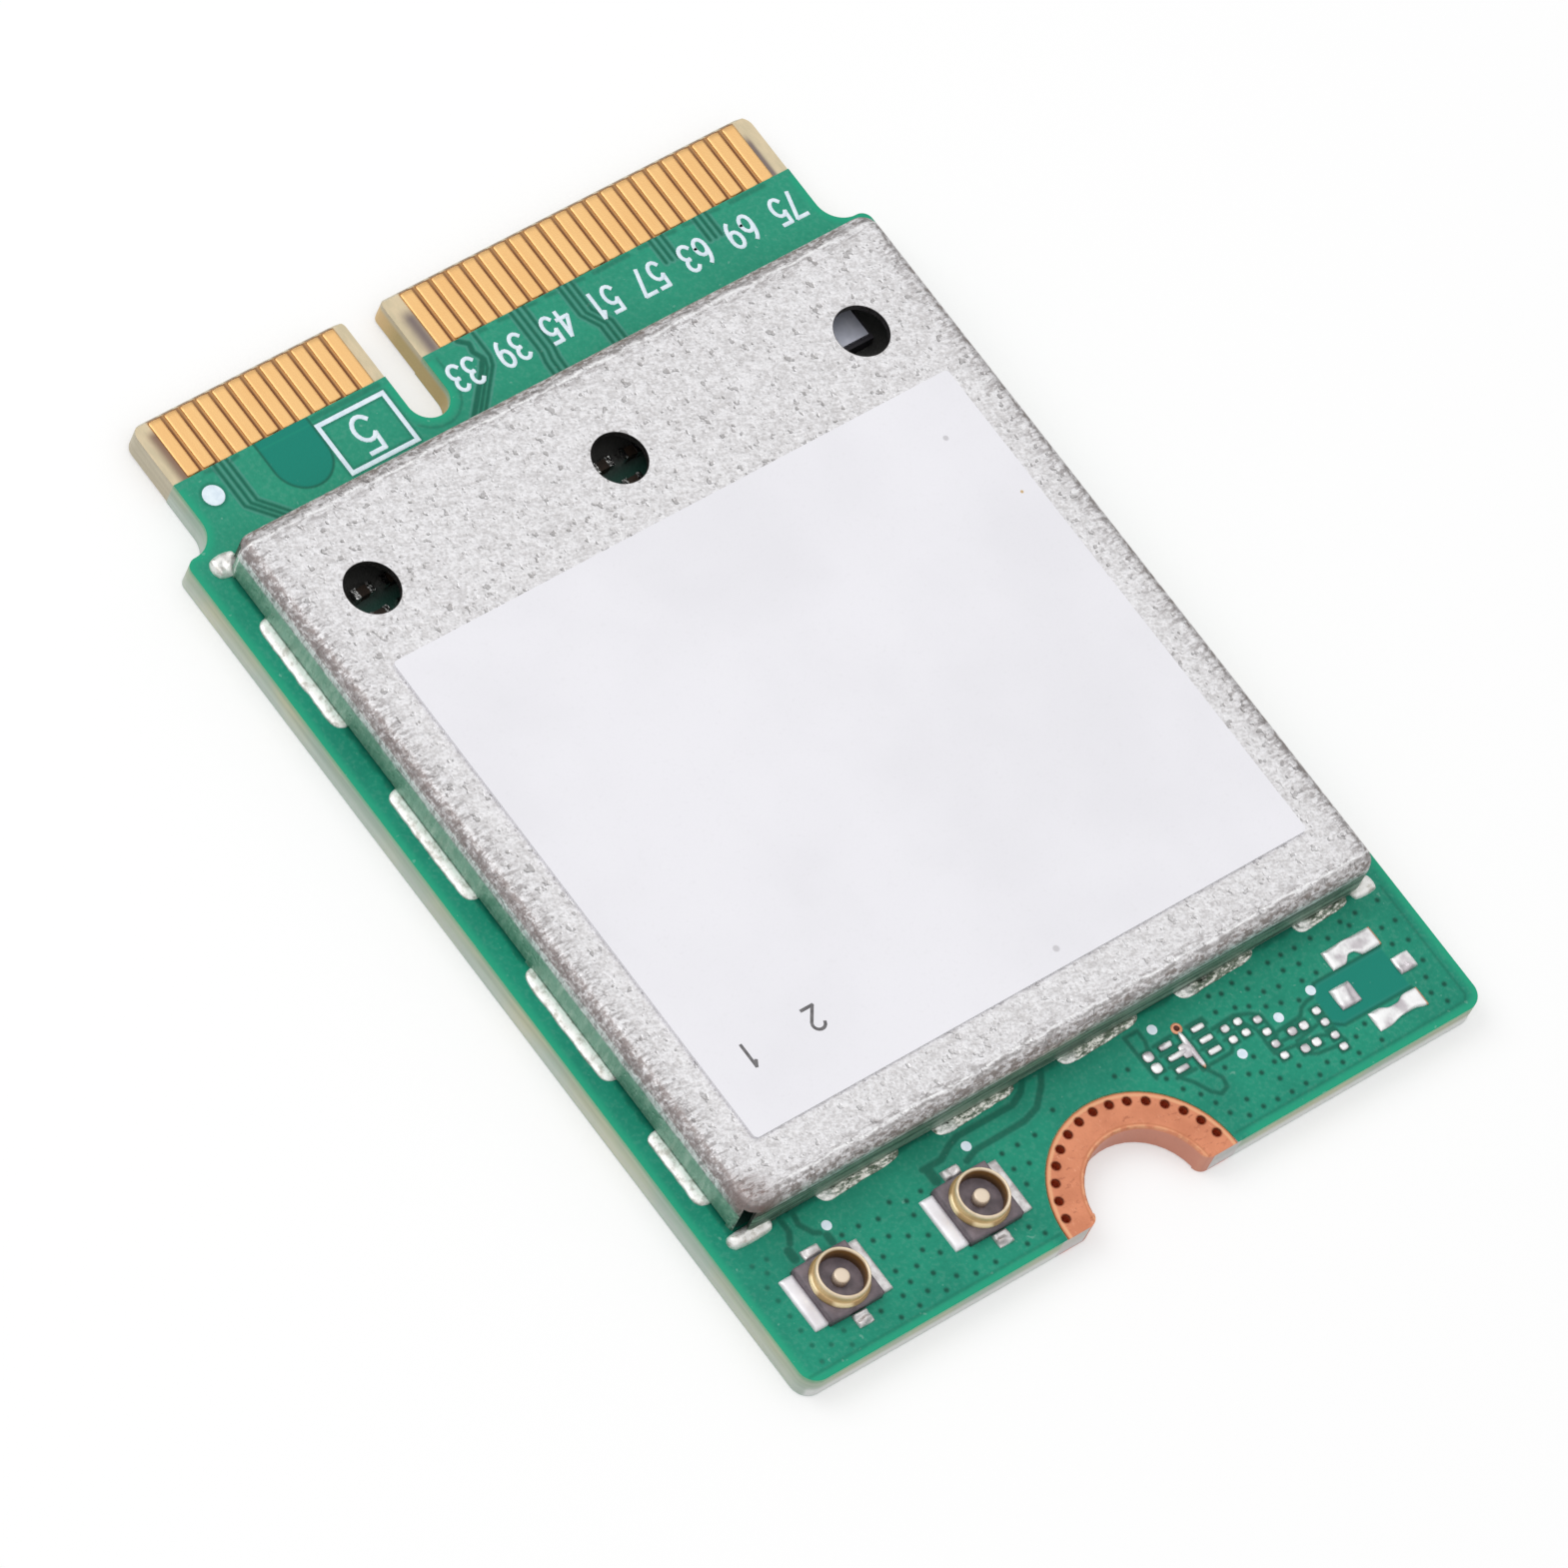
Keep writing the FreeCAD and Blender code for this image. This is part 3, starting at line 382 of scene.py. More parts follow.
front_holes = [
    (-10.27, -11.65), (-9.83, -11.67), (-10.05, -11.98), (-10.29, -12.3), (-10.27, -12.72), (-10.27, -13.2),
    (-10.27, -13.65), (-10.27, -14.11), (-9.83, -14.33), (-9.32, -14.18), (-10.32, -14.58), (-9.37, -14.59),
    (-8.17, -14.22), (-7.82, -14.61), (-7.42, -14.16), (-7.21, -14.58), (-6.79, -14.36), (-6.36, -14.58),
    (-6.36, -14.04), (-5.89, -14.39), (-5.41, -14.58), (-5.15, -14.22), (-4.78, -14.58), (-3.76, -14.58),
    (-3.44, -14.23), (-3.18, -14.57), (-7.02, -13.95), (-6.61, -13.68), (-7.17, -13.53), (-6.21, -13.4),
    (-5.86, -13.68), (-7.2, -13.06), (-6.29, -12.92), (-5.83, -13.15), (-7.15, -12.58), (-6.73, -12.68),
    (-5.81, -12.53), (-7.23, -12.08), (-6.67, -12.17), (-6.14, -11.94), (-5.73, -12.13), (-7.75, -12.07),
    (-5.25, -12.09), (-2.78, -12.28), (-2.28, -12.28), (-1.72, -12.28), (-0.88, -11.95), (-2.78, -12.77),
    (-2.33, -12.83), (-2.75, -13.26), (1.11, -11.98), (1.53, -12.0), (2.25, -12.69), (2.45, -13.13),
    (2.76, -13.47), (2.95, -13.85), (3.1, -14.25), (3.72, -14.16), (3.5, -14.55), (3.98, -14.53),
    (4.43, -14.55), (4.21, -13.63), (3.78, -13.18), (4.53, -13.76), (4.85, -14.12), (4.89, -14.57),
    (5.36, -14.56), (5.51, -14.08), (5.83, -14.55), (6.22, -14.36), (6.58, -14.56), (7.12, -14.56),
    (7.34, -14.16), (7.77, -13.98), (7.88, -14.56), (5.02, -13.68), (4.63, -13.3), (4.67, -11.38),
    (5.44, -11.38), (5.01, -11.49), (6.03, -11.37), (6.63, -11.38), (7.07, -11.37), (7.51, -11.39),
    (8.05, -11.37), (9.04, -11.38), (9.55, -11.37), (10.3, -11.37), (4.55, -11.83), (5.08, -11.97),
    (5.7, -11.71), (5.42, -12.12), (6.02, -11.98), (5.81, -12.34), (6.22, -12.45), (6.46, -12.05),
    (6.68, -12.62), (6.85, -11.75), (7.1, -12.22), (7.33, -11.8), (7.57, -12.22), (8.46, -11.6),
    (9.19, -11.58), (9.9, -12.05), (10.35, -12.05), (9.85, -12.55), (10.3, -12.66), (10.27, -13.3),
    (10.03, -13.72), (10.33, -14.11), (9.87, -14.14), (10.1, -14.53),
]
tongue_gaps = [
    (0.07, [(x, 13.1), (x, 11.75), (x + 0.72, 10.9)]) for x in (-8.67, -8.48, -8.29)
] + [
    (0.12, [(-0.95, 13.05), (-0.72, 12.85), (-0.78, 12.6), (-0.66, 12.35), (-0.9, 12.05), (-1.95, 11.0)]),
    (0.07, [(-0.62, 12.3), (-0.72, 12.05), (-1.75, 11.0)]),
    (0.07, [(-0.45, 13.05), (-0.45, 12.3), (-0.55, 12.05), (-1.58, 11.0)]),
] + [
    (0.07, [(x, 13.1), (x, 11.75), (x - 0.07, 11.45), (x - 0.09, 10.9)]) for x in (0.79, 0.99, 1.19)
] + [
    (0.07, [(x, 13.1), (x, 12.15), (x + 0.28, 11.65), (x + 0.28, 10.9)]) for x in (2.36, 2.55, 2.74)
] + [
    (0.07, [(x, 13.1), (x, 12.35)]) for x in (5.32, 5.51, 5.70, 6.76, 6.95, 7.14)
]
tongue_faint = [
    (0.10, [(-8.98, 13.02), (-8.76, 12.98), (-8.72, 12.85)]),
    (0.10, [(-8.2, 12.98), (-7.98, 13.02)]),
    (0.13, [(-5.65, 12.98), (-3.55, 12.98)]),
    (0.10, [(-0.25, 13.02), (-0.08, 13.0)]),
    (0.11, [(3.45, 13.0), (4.55, 13.0)]),
    (0.11, [(7.92, 13.0), (9.02, 13.0)]),
    (0.05, [(notch_middle + 0.9 * math.cos(turn), 12.1 + 0.9 * math.sin(turn))
            for turn in np.radians(range(-140, 1, 20))] + [(notch_middle + 0.9, 12.9)]),
    # The next two lines lay painted dark halos round the printed box and the first contact's dot.
    (0.24, [(-5.66, 11.21), (-3.58, 11.21), (-3.58, 12.74), (-5.66, 12.74), (-5.66, 11.21)]),
    (0.72, [(-9.20, 12.38), (-9.19, 12.38)]),
] + [
    (0.09, [(x, 13.03), (x + 0.3, 13.0)]) for x in (0.38, 1.25, 1.9, 2.8, 4.93, 5.8, 6.4, 7.22)
]
bare_field = ((7.05, -13.76), (9.52, -12.43), 0.08)


def tongue_field(x, y):
    """Distance to the tongue's field without copper: a block with a round lower end."""
    block = rounded_box(x, y, (-7.42, 12.18), (-5.75, 13.3), 0.01)
    return np.minimum(block, np.hypot(x + 6.585, y - 12.18) - 0.835)


def holes_mask(x, y, holes, radius):
    """Mask of small round holes: one at each centre, fading at its radius, fainter near the left rim."""
    mask = np.zeros(x.shape)
    for hole_x, hole_y in holes:
        depth = 0.6 if hole_x < -9.2 else 1.0
        from_middle = np.hypot(x - hole_x, y - hole_y)
        mask = np.maximum(mask, depth * (1 - step(from_middle, radius * 0.45, radius * 1.4)))
    return mask


def squares(points):
    """The four corners of each square of a grid, in turn."""
    return np.stack([points[:-1, :-1], points[:-1, 1:], points[1:, 1:], points[1:, :-1]], -1)


def lay_skin(name, x_lines, y_lines, gaps, holes, faint=(), openings=(), dark=0.68, pale=0.10):
    """Lacquer skin over a grid of lines. Points past the rim are drawn back onto it.
    Height is the skin's thickness, less a dip in each gap and hole, thinned over the last tenth at the rim.
    Gaps are darkened by dark, with a painted highlight of strength pale along their sides. Faint lines, the
    openings round small pads and a painted shadow along the foot of the lid are darkened less."""
    x, y = np.meshgrid(x_lines, y_lines)
    inside = board_edge(x, y) < 0
    near = 1e-3
    for _ in range(3):
        past = np.maximum(board_edge(x, y), 0)
        slope_x = (board_edge(x + near, y) - board_edge(x - near, y)) / (2 * near)
        slope_y = (board_edge(x, y + near) - board_edge(x, y - near)) / (2 * near)
        x, y = x - past * slope_x, y - past * slope_y
    edge = board_edge(x, y)
    field = tongue_field(x, y)
    # A ragged band along the foot of the lid, for its painted shadow.
    foot = rounded_box(x, y, shield_low, shield_high, 0) + 0.05 * ripple(x, y, 0.5, 3)
    apart = np.full(x.shape, 9.0)
    for width, points in gaps:
        apart = np.minimum(apart, from_line(x, y, width, points))
    marks = [dark * (1 - step(apart, -0.02, 0.05)), 0.55 * (1 - step(foot, 0.04, 0.16)),
             0.7 * (1 - step(np.abs(field), 0.01, 0.06)), holes_mask(x, y, holes, 0.076)]
    for width, points in faint:
        marks.append(0.38 * (1 - step(from_line(x, y, width, points), -0.03, 0.05)))
    for pad_x, pad_y, width, length in openings:
        border = rounded_box(x - pad_x, y - pad_y, (-width / 2, -length / 2), (width / 2, length / 2), 0)
        marks.append(0.7 * (1 - step(border, 0.02, 0.08)))
    gap = np.maximum.reduce(marks)
    # A painted highlight along each side of a gap.
    side_highlight = pale * step(apart, 0.0, 0.04) * (1 - step(apart, 0.05, 0.10))
    bare = 1 - step(np.minimum(field, rounded_box(x, y, *bare_field)), -0.04, 0.02)
    rim = (step(edge, -0.30, -0.04) * (y < 12.9)
           * step(np.hypot(x, y - board_front), screw_ring + 0.1, screw_ring + 0.6))
    height = skin - dip * gap - 0.4 * dip * bare * (1 - gap) - 0.3 * dip * rim * (1 - gap)
    z = board_top + 0.001 + height * step(-edge, 0.0, 0.09)

    under_lid = rounded_box(x, y, (-9.9, -10.6), (10.1, 10.4), 0) < 0
    kept = squares(inside).any(-1) & ~squares(under_lid)[..., ::2].all(-1)
    quads = squares(np.arange(x.size).reshape(x.shape))[kept]
    used = np.unique(quads)
    order = np.zeros(x.size, int)
    order[used] = np.arange(len(used))
    places = np.stack([x, y, z], -1).reshape(-1, 3)[used] * MM
    mesh = bpy.data.meshes.new(name)
    mesh.from_pydata(places.tolist(), [], order[quads].tolist())
    colours = np.stack([gap, bare, rim, side_highlight], -1).reshape(-1, 4)[used]
    mesh.color_attributes.new("marks", "FLOAT_COLOR", "POINT").data.foreach_set("color", colours.ravel())
    show(name, mesh, lacquer)


def show(name, mesh, material, replaces=()):
    """Makes a mesh a smooth piece of the card with its material, riding on the card."""
    piece = bpy.data.objects.new(name, mesh)
    bpy.context.scene.collection.objects.link(piece)
    mesh.materials.append(material)
    mesh.polygons.foreach_set("use_smooth", np.ones(len(mesh.polygons), bool))
    mesh.update()
    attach(piece, "root")
    if replaces:
        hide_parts(*replaces)


network_eyelet = (3.36, -11.70)
net_x, net_y = 2.79, -11.95
network_pads = [(net_x + x, net_y + y, width, height) for width, height, places in (
    (0.42, 0.18, [(0, 0), (0, -0.72), (1.06, 0), (1.06, -0.36), (1.06, -0.72)]),
    (0.19, 1.20, [(0.54, -0.42)]), (0.66, 0.18, [(0.14, -0.36)]), (0.42, 0.44, [(0.44, -0.36)]),
    (0.33, 0.31, [(-0.58, -0.03), (-0.58, -0.39)]),
    (0.28, 0.26, [(3.17, -1.28), (3.54, -1.30), (3.17, -1.83), (3.54, -1.83)]),
    (0.26, 0.23, [(1.67, -0.37), (2.09, -0.37), (1.67, -0.72), (2.09, -0.72), (2.58, -0.58), (2.58, -0.97),
                  (2.57, -1.35), (2.57, -1.72), (4.09, -1.13), (4.09, -1.49), (4.09, -1.91), (4.09, -2.27)]),
) for x, y in places]
lay_skin("lacquer_front", np.linspace(-11, 11, 551), np.linspace(-15, -10.6, 111),
         antenna_gaps + network_gaps, front_holes + lid_shade + [network_eyelet], rim_lines, network_pads)
lay_skin("lacquer_back", np.linspace(-9.96, 9.96, 665), np.linspace(10.4, 13.12, 91), tongue_gaps, [],
         tongue_faint, dark=0.75, pale=0.50)
beside_lid = np.concatenate([np.linspace(-10.6, 10.4, 151), np.linspace(10.44, 12.0, 40)])
for side, low, high in (("left", -11.0, -9.96), ("right", 9.96, 11.0)):
    lay_skin("lacquer_" + side, np.linspace(low, high, 27), beside_lid, [], [])


# Edge contacts: hard gold plated over copper, etched in one row either side of the key notch.
# Each is a flat strip with a soft edge, finely scratched lengthwise by the socket.

def show_grids(name, grids, material, replaces=(), join="floor"):
    """Shows one piece made of grids of places in millimetres, each rows by columns by 3. With join floor,
    the border of each grid is closed by one face. With join around, the last column meets the first."""
    faces = []
    start = 0
    for grid in grids:
        index = start + np.arange(grid[..., 0].size).reshape(grid.shape[:2])
        if join == "around":
            index = np.concatenate([index, index[:, :1]], 1)
        faces += squares(index).reshape(-1, 4).tolist()
        if join == "floor":
            border = np.concatenate([index[0, :-1], index[:-1, -1], index[-1, :0:-1], index[:0:-1, 0]])
            faces.append(border[::-1].tolist())
        start += grid[..., 0].size
    mesh = bpy.data.meshes.new(name)
    mesh.from_pydata(np.concatenate([grid.reshape(-1, 3) * MM for grid in grids]).tolist(), [], faces)
    shape = bmesh.new()
    shape.from_mesh(mesh)
    bmesh.ops.remove_doubles(shape, verts=shape.verts, dist=2e-7)
    bmesh.ops.recalc_face_normals(shape, faces=shape.faces)
    shape.to_mesh(mesh)
    shape.free()
    show(name, mesh, material, replaces)


def crowded(count):
    """Numbers from -1 to 1 that crowd towards both ends, as a sine does."""
    return np.sin(np.linspace(-math.pi / 2, math.pi / 2, count))


def pillow(centre, width, length, height, edge, corner=0.15, lump=0.0, bumps=0.3, seed=1,
           base=board_top, count=9):
    """A pad on a square grid. Its corners are drawn in by corner, and its height rises from the border
    as a quarter ellipse edge wide. lump adds bumps of that share of the height."""
    u, v = np.meshgrid(crowded(count), crowded(count))
    x = centre[0] + width / 2 * u * (1 - corner + corner * np.sqrt(1 - v * v / 2))
    y = centre[1] + length / 2 * v * (1 - corner + corner * np.sqrt(1 - u * u / 2))
    border = np.minimum(width / 2 * (1 - np.abs(u)), length / 2 * (1 - np.abs(v)))
    rise = np.sqrt(1 - (1 - np.clip(border / edge, 0, 1)) ** 2)
    z = base + height * rise * (1 + lump * ripple(x, y, bumps, seed))
    return np.stack([x, y, z], -1)


def gold_colour(tree):
    """Even gold with a fine cloud and thin lengthwise scratches."""
    scratches = blotches(tree, 2, 3, stretch=(9, 0.6, 1))
    both = plus(times(blotches(tree, 0.8, 3), 0.6), times(scratches, 0.4))
    return tint(ramp(both, 0.35, 0.70, 0, 0.35), (252, 205, 140), (244, 186, 118))


def fine_grain(tree):
    """Even fine grain."""
    return blotches(tree, 16, 3)


gold = finish_material("contact_gold", gold_colour, fine_grain, 0.003, 0.42, 0.85)
contact_pitch, middle_place = 0.25, 38
contact_y, contact_width, contact_length, contact_height = 13.99, 0.385, 1.80, 0.04
contact_rows = {
    "contacts_top_short_row": (range(1, 24, 2), 0.76, 1),
    "contacts_top_long_row": (range(33, 76, 2), 0.76, 1),
    "contacts_bottom_short_row": (range(2, 23, 2), 0.04, -1),
    "contacts_bottom_long_row": (range(32, 75, 2), 0.04, -1),
}
for row, (pins, base, up) in contact_rows.items():
    pads = []
    for pin in pins:
        uneven = math.sin(2.4 * pin)
        place = (pin - middle_place) * contact_pitch, contact_y + 0.015 * uneven
        pads.append(pillow(place, contact_width, contact_length - 0.03 * uneven, contact_height * up,
                           0.03, 0.07, base=base, count=11))
    show_grids("gold_" + row, pads, gold, [row])


# Ground ring: bare rolled copper round the screw seat, with fifteen small plated holes.
# It is matte, mottled by handling, and a little browner down the plated wall of the seat.

copper_wall, copper_rim, copper_edge = (202, 144, 126), (238, 178, 136), (176, 108, 62)
hole_ring = 2.505
hole_turn = math.pi / 16


def length(x, y):
    """How far a step of x along and y across goes."""
    place = put(x.id_data, "CombineXYZ", {0: x, 1: y}).outputs[0]
    return put(x.id_data, "VectorMath", {0: place}, operation="LENGTH").outputs["Value"]


def copper_colour(tree):
    """Rolled copper: a cloud, darker stains, a broken painted highlight along the seat's edge, and a browner
    wall below the top face.
    """
    x, y, z = board_parts(tree)
    from_seat = less(y, board_front)
    radius = length(x, from_seat)
    lip_highlight = times(within(radius, 1.76, 1.84, 0.02), ramp(blotches(tree, 4, 3), 0.40, 0.60), 0.8)
    turn = maths("DIVIDE", maths("ARCTAN2", from_seat, x), hole_turn)
    along = maths("WRAP", turn, 0.5, -0.5)
    from_hole = length(times(along, hole_ring * hole_turn), less(radius, hole_ring))
    deep = ramp(z, 0.70, 0.785, 1, 0)
    return coats(
        tint(ramp(blotches(tree, 1.3, 4), 0.3, 0.7), (230, 152, 116), (214, 138, 104)),
        (ramp(blotches(tree, 3.5, 4, 0.7, (1, 2.5, 1)), 0.56, 0.68, 0, 0.6), (176, 104, 78)),
        (ramp(blotches(tree, 6, 3, 0.7, (2.5, 1, 1)), 0.60, 0.70, 0, 0.5), (244, 178, 144)),
        (within(radius, 2.62, 2.70, 0.03), copper_rim), (ramp(radius, 2.70, 2.75, 0, 0.9), copper_edge),
        (lip_highlight, copper_rim), (times(within(radius, 1.85, 1.89, 0.02), 0.3), copper_edge),
        (times(ramp(from_hole, 0.12, 0.17, 0.7, 0), within(turn, 0.5, 15.5, 0.01)), (110, 44, 20)),
        (times(deep, 0.85), copper_wall), (times(ramp(from_hole, 0.13, 0.14, 1, 0), deep), (220, 110, 60)))


dress("mounting_ground_ring", finish_material("ring_copper", copper_colour, fine_grain, 0.006, 0.5, 0.7))


# Parts under the shield: black resin chips, a ferrite coil, a crystal in a metal lid and small ceramic parts.
# Only the three round holes show them, so each has its plain finish: moulded, pressed, fired or tinned.

def mottled(name, light, dark, scale, depth, roughness, metallic=0):
    """A plain finish in two close colours, with a cloud of that many blotches in a millimetre."""
    return finish_material(
        name, lambda tree: tint(ramp(blotches(tree, scale, 4), 0.3, 0.7), light, dark),
        lambda tree: blotches(tree, scale * 3, 3), depth, roughness, metallic)


hidden_finishes = {slot: mottled("hidden_" + slot, *finish) for slot, finish in {
    "chip_resin": ((44, 44, 47), (28, 28, 31), 3, 0.006, 0.6),
    "coil_ferrite": ((74, 74, 80), (52, 52, 58), 2, 0.01, 0.7),
    "crystal_ceramic": ((46, 44, 50), (36, 34, 40), 2, 0.006, 0.7),
    "crystal_metal": ((214, 216, 228), (184, 188, 202), 1.5, 0.003, 0.45, 0.5),
    # Capacitor bodies are painted darker, as shade under the lid.
    "capacitor_ceramic": ((58, 44, 32), (42, 32, 24), 4, 0.004, 0.6),
    "resistor_ceramic": ((40, 40, 44), (24, 24, 28), 4, 0.004, 0.4),
    "filter_ceramic": ((205, 202, 190), (180, 176, 164), 2, 0.004, 0.6),
    "end_cap_tin": ((252, 252, 250), (120, 118, 116), 5, 0.03, 0.2, 1),
    "solder": ((222, 222, 220), (186, 186, 182), 5, 0.008, 0.3, 0.9),
}.items()}
for subpart in frame["record"]["subparts"]:
    if subpart["material_slot"] in hidden_finishes:
        dress(subpart["node"], hidden_finishes[subpart["material_slot"]])


# Shield lid: one sheet of tinned steel, folded down on four sides with its corners left open.
# The tin has a coarse bright grain with dark pits; the bends are painted browner as shade, and the walls
# green as a reflection of the board.

lid_left, lid_front = shield_low[:2].tolist()
lid_right, lid_back = shield_high[:2].tolist()
lid_holes = [((lid_left + lid_right) / 2 - 0.13 + i * 7.89, lid_back - 2.86, 0) for i in (-1, 0, 1)]
tin_light, tin_grey, tin_pit, tin_brown = (243, 242, 244), (220, 218, 219), (136, 132, 130), (148, 140, 136)

tin_grain, given, made = shader_group(
    "tin_grain", {"Place": "Vector"}, {"Pits": "Float", "Cloud": "Float", "Height": "Float"})
combed = {"Vector": given["Place"], "Rotation": (0, 0, 0.5), "Scale": (0.8, 1.2, 1)}
combed = put(tin_grain, "Mapping", combed).outputs[0]
leather = noise(combed, 5, 2, 0.55)
flecks = noise(combed, 12)
pits = maths("MAXIMUM", ramp(noise(given["Place"], 3.3, 2, 0.6), 0.61, 0.68),
             ramp(noise(given["Place"], 7, 1), 0.65, 0.74, 0, 0.5))
wire(made, {"Pits": pits, "Cloud": ramp(plus(times(leather, 0.4), times(flecks, 0.6)), 0.38, 0.58),
            "Height": less(plus(leather, times(flecks, 0.35)), times(pits, 0.45))})


def tin_place(tree):
    """The tin's grain at this place."""
    return put(tree, "Group", {"Place": millimetres(tree)}, node_tree=tin_grain).outputs


def away(tree, place, stretch=(1, 1, 0)):
    """Distance in millimetres from a place on the card, seen from above unless the stretch keeps height."""
    ends = {0: millimetres(tree, stretch), 1: place}
    return put(tree, "VectorMath", ends, operation="DISTANCE").outputs["Value"]


def tin_colour(tree):
    """Grain and pits on the flat, denser near the rim, and painted shade on the bends: brown with pale
    flecks, and speckled grey at the left.
    """
    grain = tin_place(tree)
    x, y, z = board_parts(tree)
    to_side = maths("MINIMUM", less(x, lid_left), less(lid_right, x))
    to_end = maths("MINIMUM", less(y, lid_front), less(lid_back, y))
    rim = ramp(maths("MINIMUM", to_side, to_end), 0.30, 0.90, 1, 0)
    smudge = ramp(blotches(tree, 3.2, 4, 0.7, (1, 3, 1)), 0.47, 0.60)
    corner = away(tree, (lid_left + 0.3, lid_front + 0.3, 2), (1, 1, 1))
    stained = maths("MAXIMUM", plus(times(smudge, 0.35), 0.5), ramp(z, 2, 2.09, 0.9, 0))
    # The bends, darkened as painted shade, and the walls, drawn upright at the sides and along in front and
    # tinted green as a painted reflection of the board.
    streaks = blotches(tree, 4.5, 4, 0.7, (1, 1, 3))
    beside = ramp(x, lid_left + 0.25, lid_left + 0.40, 0.15, 0)
    bend_shade = times(within(z, 1.82, 2.085, 0.03), ramp(streaks, 0.42, 0.54, 0.95, 0.15),
                   less(1, times(beside, 3)))
    left_bend_shade = ramp(blotches(tree, 6.5, 4, 0.7, (1, 1, 1.6)), 0.43, 0.55, 0.9, 5.2)
    wander = plus(plus(z, beside), ramp(blotches(tree, 1), 0.3, 0.7, -0.02, 0.02))
    ahead = ramp(y, lid_front + 0.25, lid_front + 0.40, 0.75, 0)
    drawn = blotches(tree, 1.5, 3, stretch=(0.25, 1, 7))
    wall = coats(
        tint(ramp(blotches(tree, 2, 4, 0.65, (2.5, 2.5, 0.5)), 0.45, 0.70), (130, 180, 158), (166, 200, 182)),
        (ahead, (164, 178, 164)), (times(ahead, ramp(drawn, 0.47, 0.57)), (66, 90, 78)),
        (times(ahead, ramp(drawn, 0.42, 0.36, 0, 0.6)), (206, 212, 206)))
    # Lines along the foot of each bend and along its head: the pale ones are painted highlights, the dark one
    # at the foot painted shade. The open slot at the back left corner is painted dark as its shade.
    plain = ramp(corner, 0.7, 1.6)
    ridge_highlight = times(within(wander, 1.75, 1.81, 0.03), ramp(streaks, 0.44, 0.56, 0.75, 0), plain)
    crease_shade = times(within(wander, 1.68, 1.73, 0.015),
                   plus(times(ahead, 0.8), ramp(streaks, 0.48, 0.62, 0, 0.4)))
    fold = plus(to_end, ramp(blotches(tree, 1.2, 3), 0.3, 0.7, -0.04, 0.04))
    line = times(within(fold, 0.36, 0.41, 0.02), ramp(streaks, 0.40, 0.60, 0.9, 0.2), plain)
    dark = times(within(fold, 0.24, 0.33, 0.03), ramp(streaks, 0.42, 0.56, 0, 0.7))
    slot = ramp(away(tree, (lid_left, lid_back, 0)), 0.24, 0.32, 0.9, 0)
    first, second, third = (away(tree, hole) for hole in lid_holes)
    from_hole = maths("MINIMUM", first, maths("MINIMUM", second, third))
    return coats(
        tint(grain["Cloud"], tin_grey, tin_light),
        (times(grain["Pits"], ramp(y, -9.8, -7.5, 0.25, 0.48)), tin_pit),
        (times(rim, smudge, 0.70), (148, 142, 142)),
        (times(ramp(corner, 0.25, 1.05, 0.95, 0), stained), (124, 102, 96)), (bend_shade, tin_brown),
        (times(within(z, 1.80, 2.088, 0.02), beside, left_bend_shade), (140, 129, 127)),
        (ramp(wander, 1.66, 1.76, 0.86, 0), wall), (ridge_highlight, (224, 224, 224)), (crease_shade, (66, 64, 56)),
        (line, (252, 252, 252)), (dark, tin_pit), (times(slot, ramp(z, 1.80, 1.95, 1, 0)), (60, 44, 32)),
        (ramp(from_hole, 0.755, 0.765, 0.92, 0), (46, 42, 38)))


def tin_relief(tree):
    """The grain's own relief."""
    return tin_place(tree)["Height"]


def tin_gloss(tree):
    """Rougher on the bends and walls than on the flat."""
    return ramp(board_parts(tree)[2], 2.07, 2.098, 0.55, 0.43)


dress("shield_can", finish_material("tinned_sheet", tin_colour, tin_relief, 0.030, tin_gloss, 0.92))


# Solder round the lid: a lumpy bright strip at each foot and a bead at each corner, where the paste
# flowed out from under the sheet. The front strips are thin and streaky, the side ones full and blunt.

def solder_colour(tree):
    """Bright solder with dull grey flow marks."""
    return tint(ramp(blotches(tree, 5, 4, 0.6, (1, 1, 2)), 0.44, 0.70), (253, 252, 249), (200, 196, 188))


def dull_solder_colour(tree):
    """Duller solder, streaked along the wall it runs against."""
    foot = less(maths("WRAP", board_parts(tree)[0], 3.88, 0), 0.25)
    body = tint(ramp(blotches(tree, 5, 4, 0.7, (1, 2.5, 2.5)), 0.42, 0.56), (238, 236, 228), (112, 124, 108))
    return tint(ramp(maths("ABSOLUTE", foot), 0.1, 0.45, 0.75, 0), body, (244, 244, 242))


def solder_relief(tree):
    """Soft lumps."""
    return blotches(tree, 8, 3)


solder = finish_material("solder", solder_colour, solder_relief, 0.012, 0.34, 0.40)
dull_solder = finish_material("dull_solder", dull_solder_colour, solder_relief, 0.045, 0.34, 0.6)


def solder_strip(start, end, outward, width, height, blunt, seed, narrowing, lump):
    """A strip from start to end along a wall. Its section is a quarter ellipse, and both sizes shrink
    to the ends as one less a power of the distance from the middle, and evenly by narrowing from start
    to end. Bumps follow its length."""
    t = crowded(41)[:, None]
    s = np.linspace(0, 1, 9)[None, :]
    along = (np.array(end) - start)[None, None, :]
    size = np.sqrt(np.clip(1 - np.abs(t) ** blunt, 0, 1)) * (1 - narrowing * (t + 1) / 2) + 0 * s
    middle = (np.array(end) + start)[None, None, :] / 2
    run = np.hypot(*along[0, 0]) * t / 2 + 0 * s
    bump = ripple(run, s * width + 0 * t, 0.28, seed)
    reach = (width * s * (1 + 0.05 * ripple(run, 0 * run, 0.5, seed + 7)) + 0.06) * size - 0.06
    flat = middle + t[..., None] * along / 2 + reach[..., None] * np.array(outward)[None, None, :]
    z = board_top + height * np.sqrt(np.clip(1 - s * s, 0, 1)) * size * (1 + lump * bump)
    return np.concatenate([flat, z[..., None]], -1)


